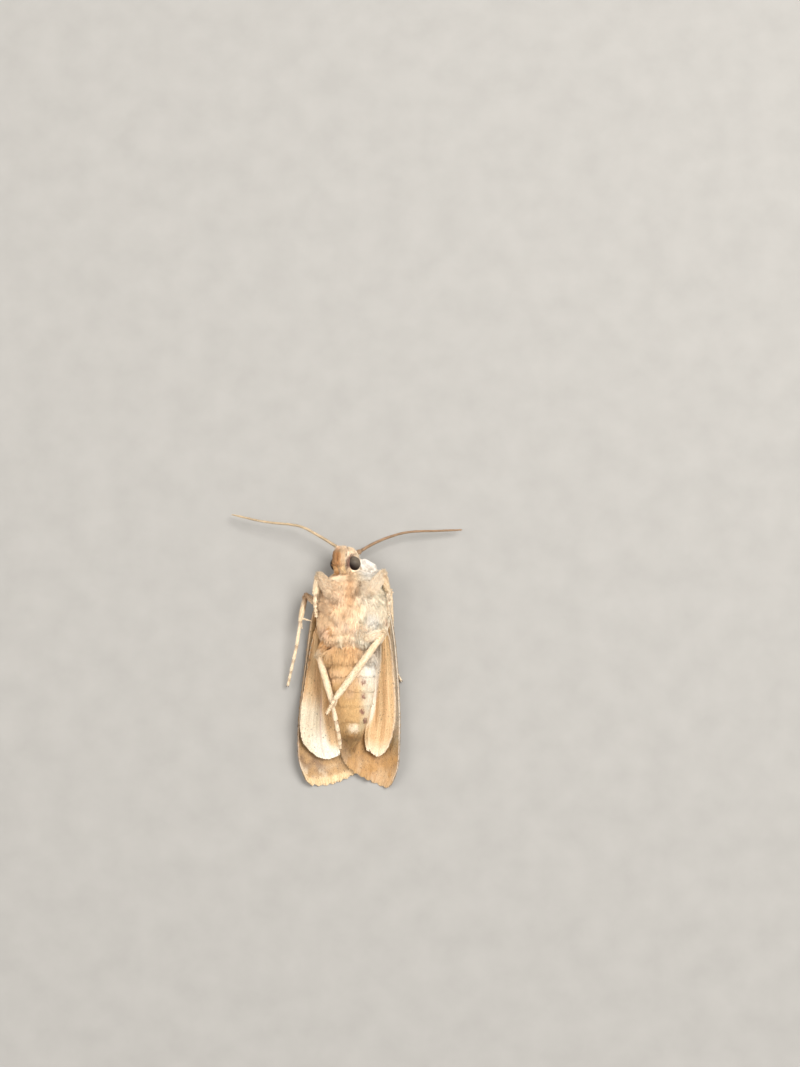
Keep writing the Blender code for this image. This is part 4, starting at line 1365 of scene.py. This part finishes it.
# The belly side of each forewing: base colour, strengths of the brown band, which holds painted shade
# from the hindwing as well, the dark corner, the pale clouds and the pale end, how far the pale leading
# edge (costa) reaches, its colour and its rim's.
FOREWING_BELLY = dict(
    forewing_right=dict(base=(0.54, 0.34, 0.16), band=0.95, corner=0.0, clouds=0.6, end=0.8,
                        costa=(0.1, 0.04), costa_colour=(0.84, 0.60, 0.34), rim=GREY_BUFF),
    forewing_left=dict(base=(0.51, 0.29, 0.11), band=0.4, corner=0.75, clouds=0.2, end=0.0,
                       costa=(0.14, 0.1), costa_colour=PALE_CREAM, rim=LILAC_WHITE),
)


def forewing_belly_colour(wing, points, along, across):
    """Tan, mottled brown before the pale fringe, deepened there with painted shade from the hindwing,
    with a pale leading edge.
    """
    look = FOREWING_BELLY[wing.name]
    smudge = ease(-0.5, 0.5, noise(points, 1.0, 21) + 0.35 * noise(points, 0.3, 26))
    band = ease(0.74, 0.83, along) * ease(0.97, 0.88, along)
    corner = peak(along, 0.72, 0.1) * ease(0.3, 0.1, across)
    clouds = ease(0.87, 0.93, along) * ease(-0.5, 0.3, noise(points, 0.5, 28))
    edge = ease(*look["costa"], across) * ease(0.8, 0.6, along)
    specks = ease(0.35, 0.75, noise(points, 0.14, 27)) * ease(0.6, 0.75, along)
    colour = layered(
        look["base"],
        # The brown band, partly a marking and partly painted shade from the hindwing, strongest on the
        # right forewing.
        ((0.30, 0.19, 0.11), band * look["band"] * smudge),
        ((0.34, 0.26, 0.15), look["corner"] * corner * smudge),
        (PALE_CREAM, look["clouds"] * clouds),
        ((0.84, 0.62, 0.36), look["end"] * ease(0.93, 0.97, along)),
        (look["costa_colour"], 0.85 * edge),
        (look["rim"], 0.5 * ease(0.02, 0.008, across)),
        (BROWN, 0.5 * specks * ease(0.99, 0.95, along)),
    )
    return mix(colour, colour * 0.75, 0.5 * wing.veins(along, across))


def forewing_back_colour(wing, points, along, across):
    """Sandy buff, with paler veins, a white spot in the middle and rows of small dark dots."""
    shade = peak(across - 0.15 - 1.1 * (0.95 - along), 0.0, 0.07) * ease(0.65, 0.85, along)
    spot = ((along - 0.52) / 0.011) ** 2 + ((across - 0.42) / 0.035) ** 2
    dots = peak(along - 0.78 + 0.5 * (across - 0.4) ** 2, 0.0, 0.006)
    dots *= peak((across * 8 + 0.5) % 1, 0.5, 0.14)
    end_dots = 0.6 * peak(along - wing.reach + 0.006, 0.0, 0.006) * peak((across * 9) % 1, 0.5, 0.16)
    return layered(
        (0.46, 0.32, 0.18),
        ((0.36, 0.25, 0.15), 0.5 + 0.5 * noise(points, 1.2, 22)),
        ((0.62, 0.48, 0.32), 0.6 * wing.veins(along, across)),
        ((0.20, 0.13, 0.08), 0.7 * shade),
        (DARK_BROWN, 0.5 * np.exp(-spot / 5)),
        (WHITE, np.exp(-(spot**2))),
        (DARK_BROWN, 0.85 * dots),
        (DARK_BROWN, end_dots),
    )


def hindwing_belly_colour(wing, points, along, across):
    """Orange tan; the right one turns pearly white beyond the middle, partly its pale ground and partly
    painted light, with a painted highlight near its end; the left one keeps the orange tan over its
    middle as painted warm shade, pale at its end.
    """
    y = points[:, 1]
    colour = mix((0.76, 0.54, 0.30), (0.68, 0.44, 0.23), 0.5 + 0.5 * np.sin(17 * across + 1))
    # The left hindwing keeps the orange tan over its middle, which stands in for the warm shade it lies
    # in.
    if wing.raised:
        inner = ease(0.0, 0.14, across - 0.5 - 0.06 * np.clip(-y, 0.0, 7.0))
        inner *= ease(-7.0, -5.5, y)
        inner *= ease(2.5, 1.0, y)
        return layered(
            colour,
            (PALE_CREAM, 0.7 * ease(0.84, 0.97, along)),
            (PALE_CREAM, 0.5 * ease(0.1, 0.02, across)),
            ((0.88, 0.84, 0.74), 0.9 * inner),
            ((0.78, 0.56, 0.46), 0.6 * (peak(across, 0.9, 0.03) * ease(-5.0, -3.5, y))),
        )
    # The right hindwing turns pale beyond the middle, partly its own pale ground and partly painted
    # light.
    inner = ease(0.0, 0.16, across - 0.56 - 0.05 * np.clip(-y - 5.0, 0.0, 5.0)) * ease(-9.2, -8.2, y)
    fleck = ease(0.45, 0.8, noise(points, 0.16, 23)) * peak(along, 0.78, 0.12)
    return layered(
        colour,
        ((0.82, 0.73, 0.57), ease(-2.6, -5.2, y + 0.8 * across)),
        # Painted highlight: the whitest patch near the end.
        ((0.88, 0.88, 0.78), ease(-6.5, -8.6, y) * ease(0.1, 0.5, across)),
        ((0.82, 0.54, 0.28), 0.9 * inner * ease(-3.0, -4.0, y)),
        ((0.70, 0.50, 0.46), 0.6 * peak(across, 0.6, 0.03) * ease(0.4, 0.6, along)),
        ((0.50, 0.34, 0.18), 0.6 * fleck * ease(0.1, 0.2, across) * ease(0.45, 0.3, across)),
    )


def hindwing_back_colour(wing, points, along, across):
    """Buff, grey brown towards the end, with darker veins."""
    colour = mix((0.70, 0.60, 0.48), (0.34, 0.26, 0.19), ease(0.5, 0.95, along))
    return mix(colour, colour * 0.7, 0.6 * wing.veins(along, across))


def wing_colour(wing, points, along, across, face):
    if wing.hind:
        belly, back = hindwing_belly_colour, hindwing_back_colour
    else:
        belly, back = forewing_belly_colour, forewing_back_colour
    share = 0.5 + 0.5 * np.asarray(face, float)
    colour = mix(back(wing, points, along, across), belly(wing, points, along, across), share)
    cloud = 0.06 * noise(points, 0.7, 24) + 0.05 * noise(points, 0.2, 25)
    return np.clip(colour * (1 + cloud)[:, None], 0, 1)


def wing_places(along, across, face):
    """Places on the wing's unwrap: the belly side on its left half, the back on its right."""
    return np.column_stack([0.02 + 0.46 * across + 0.5 * (face < 0), along])


def wing_patch(wing, face, gap, rng):
    """A patch of scale roots over one face of a wing."""
    wanted = int(5 * wing.size * 5.5 / gap**2)
    along, across = rng.uniform(0.5 * ROOT_ALONG, wing.reach, wanted), rng.random(wanted)
    kept = spaced(wing.middle(along, across) * (1, 1, 0.3), gap, rng)
    along, across = along[kept], across[kept]
    roots, normals, lie = wing.at(along, across, face)
    lie = turned(lie, normals, rng.normal(0, 0.1, len(kept)))
    colour = wing_colour(wing, roots, along, across, np.full(len(kept), face))
    dark = rng.random(len(kept)) < (0.02 if wing.hind else 0.07)
    colour = np.where(dark[:, None], colour * 0.45, colour)
    return roots, lie, normals, colour, wing_places(0.01 + 0.98 * along, across, face)


def fringe_patch(wing, layer, rng):
    """Roots of one layer of the long scales along the outer edge, and their lengths."""
    count = int(path_length(wing.edges[3]) / FRINGE_GAP)
    across = np.sort(np.clip((np.arange(count) + rng.random(count)) / count, 0.0, 1.0))
    face = 1 if layer % 2 == 0 else -1
    along = np.full(count, wing.reach - 0.004 * (layer // 2))
    roots, normals, _ = wing.at(along, across, face)
    away = wing.middle(np.ones(count), across) - roots
    at_corner = 0.6 * np.linalg.norm(away, axis=1) * ease(0.93, 1.0, across)
    away += wing.over_edge(along) * at_corner[:, None]
    scallops, depth = (6, 0.08) if wing.hind else (10, 0.2)
    scallop = 1 - depth * (1 - np.abs(np.sin(np.pi * across * scallops)))
    length = np.linalg.norm(away, axis=1) * scallop * FRINGE_SHARES[layer // 2]
    colour = wing_colour(wing, roots, np.full(count, 0.99), across, np.full(count, face))
    tips = (0.8, 0.72, 0.6) if wing.hind else (0.36, 0.26, 0.17)
    colour = mix(colour, tips, np.full(count, 0.1 if face > 0 else 0.3))
    places = wing_places(np.full(count, 0.985), across, face)
    return (roots, flat_to(away, normals), normals, colour, places), length


def inner_edge_patch(wing, rng):
    """Roots of the short scales along the trailing edge, and their lengths."""
    count = int(path_length(wing.edges[1]) / INNER_GAP)
    along = wing.reach * (0.15 + 0.85 * (np.arange(count) + rng.random(count)) / count)
    across = np.full(count, 0.995)
    roots, normals, lie = wing.at(along, across, 1)
    colour = wing_colour(wing, roots, along, across, np.ones(count))
    places = np.column_stack([np.full(count, 0.48), 0.01 + 0.98 * along])
    lie = flat_to(lie + 0.8 * wing.over_edge(along), normals)
    return (roots, lie, normals, colour, places), np.full(count, INNER_LENGTH)


def add_wings(sheet_finish, scales):
    for number, (name, edges) in enumerate(WINGS.items()):
        rng = np.random.default_rng(SEED + 70 + number)
        wing = Wing(name, **edges)
        points, face_sets, along, across, face = wing.mesh()
        piece = add_mesh(f"{name}_sheet", points, face_sets, sheet_finish,
                         wing_colour(wing, points, along, across, face))
        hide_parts(name)
        gap, length, width = WING_SCALES
        for face, word in ((1, "belly"), (-1, "back")):
            patch = wing_patch(wing, face, gap, rng)
            coat(f"{name}_{word}_scales", patch, SMALL_SCALE, length, width, math.radians(5), scales,
                 rng, bend=0.05, sink=0.012, shade=0.12, vary=0.06)
        fringe = [fringe_patch(wing, layer, rng) for layer in range(2 * len(FRINGE_SHARES))]
        patches, lengths = zip(*fringe, inner_edge_patch(wing, rng))
        coat(f"{name}_fringe", merged(patches), PADDLE, np.concatenate(lengths) / FRINGE_OVERLAP,
             FRINGE_WIDTH, math.radians(4), scales, rng,
             bend=0.04, sink=0.015, shade=0.2, uneven=0.05)


# ------------------------------------------------------------------ stage, light and camera

# The camera looks almost straight down, with the moth below and left of the middle of the picture.
VIEW_PLACE = np.array((5.0, 12.7, 0.0))
VIEW_ELEVATION, VIEW_DISTANCE = math.radians(85.8), 180.0
VIEW_HEIGHT, VIEW_LEVEL, SENSOR = 106.7, 2.5, 36.0  # the picture is VIEW_HEIGHT tall at VIEW_LEVEL
FLOOR_HALF = 600.0

KEY_COLOUR, FILL_COLOUR, ROOM_LIGHT = (1.0, 0.95, 0.88), (1.0, 0.93, 0.84), 0.38
LIT_PLACE = (0.0, 0.0, 2.0)
# Each light: the way to it from the moth, distance, size, power and colour.
LIGHTS = (
    ("key", (0.5, 0.4, 1.0), 420.0, 240.0, 2.0, KEY_COLOUR),
    ("fill", (-0.8, 0.2, 0.9), 480.0, 360.0, 1.15, FILL_COLOUR),
    ("back", (0.1, -0.9, 0.8), 480.0, 360.0, 0.35, FILL_COLOUR),
)


def in_frame(place):
    return Vector((np.asarray(place, float) - ORIGIN) * MM)


def aim(obj, place, target):
    obj.location = place
    obj.rotation_euler = (target - place).to_track_quat("-Z", "Y").to_euler()


def add_stage(finish):
    mesh = bpy.data.meshes.new("floor")
    half, level = FLOOR_HALF * MM, in_frame((0, 0, 0)).z
    corners = [(x * half, y * half, level) for x, y in ((-1, -1), (1, -1), (1, 1), (-1, 1))]
    mesh.from_pydata(corners, [], [(0, 1, 2, 3)])
    mesh.materials.append(finish)
    floor = placed("floor", mesh)


def add_lights():
    for name, way, reach, size, power, colour in LIGHTS:
        data = bpy.data.lights.new(name, "AREA")
        data.shape, data.size = "DISK", size * MM
        data.energy, data.color = power, colour
        target = in_frame(LIT_PLACE)
        aim(placed(name, data), target + Vector(way).normalized() * reach * MM, target)
    world = bpy.data.worlds.new("studio")
    world.use_nodes = True
    background = world.node_tree.nodes["Background"]
    background.inputs["Color"].default_value = (*KEY_COLOUR, 1)
    background.inputs["Strength"].default_value = ROOM_LIGHT
    bpy.context.scene.world = world
    bpy.context.scene.view_settings.view_transform = "Standard"


def add_camera():
    data = bpy.data.cameras.new("camera")
    data.sensor_width, data.lens = SENSOR, SENSOR * (VIEW_DISTANCE - VIEW_LEVEL) / VIEW_HEIGHT
    data.clip_start, data.clip_end = 0.001, 10.0
    camera = placed("camera", data)
    target = in_frame(VIEW_PLACE)
    way = Vector((0.0, -math.cos(VIEW_ELEVATION), math.sin(VIEW_ELEVATION)))
    aim(camera, target + way * VIEW_DISTANCE * MM, target)
    bpy.context.scene.camera = camera


# ------------------------------------------------------------------ the whole scene

SKIN_NODES = ("head", "thorax", "abdomen", "tegula_left", "tegula_right")
ORIGIN = frame_origin()

for leftover in [obj for obj in bpy.data.objects if obj.name in ("Cube", "Light", "Camera")]:
    bpy.data.objects.remove(leftover)
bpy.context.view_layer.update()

wool = marked_material("wool", 0.72, 0.05, (1, 4, 1), tone=0.12, Sheen_Weight=0.1, Sheen_Roughness=0.4)
body_scales = marked_material("body_scales", 0.6, 0.06, (1, 3, 1), tone=0.12, Sheen_Weight=0.15)
body_skin = marked_material("skin", 0.7, 0.09, (1, 2.5, 1), tone=0.2, bump=0.6, bump_depth=0.05)
limb_skin = marked_material("limb_skin", 0.55, 0.05, tone=0.2, bump=0.4)
limb_scales = marked_material("limb_scales", 0.55, 0.04, tone=0.1, Sheen_Weight=0.2)
eye_facets = marked_material("eye_facets", 0.52, 0.2, tone=0.15, bump=0.1, bump_depth=0.004,
                             rough_change=0.04, Specular_IOR_Level=0.22)
horn = marked_material("horn", 0.3, 0.05, tone=0.25, bump=0.2, Coat_Weight=0.3)
wing_scales = marked_material("wing_scales", 0.5, 0.03, (1, 3, 1), tone=0.08, bump_depth=0.008,
                              Sheen_Weight=0.1)
wing_sheet = wing_material("wing_sheet", 0.5)

add_trunk(wool, body_scales, body_skin)
add_eyes(eye_facets)
add_palps(limb_skin, wool)
add_tongue(horn)
add_antennae(limb_skin, limb_scales)
add_legs(limb_skin, limb_scales, horn)
add_wings(wing_sheet, wing_scales)
add_stage(floor_material())
add_lights()
add_camera()
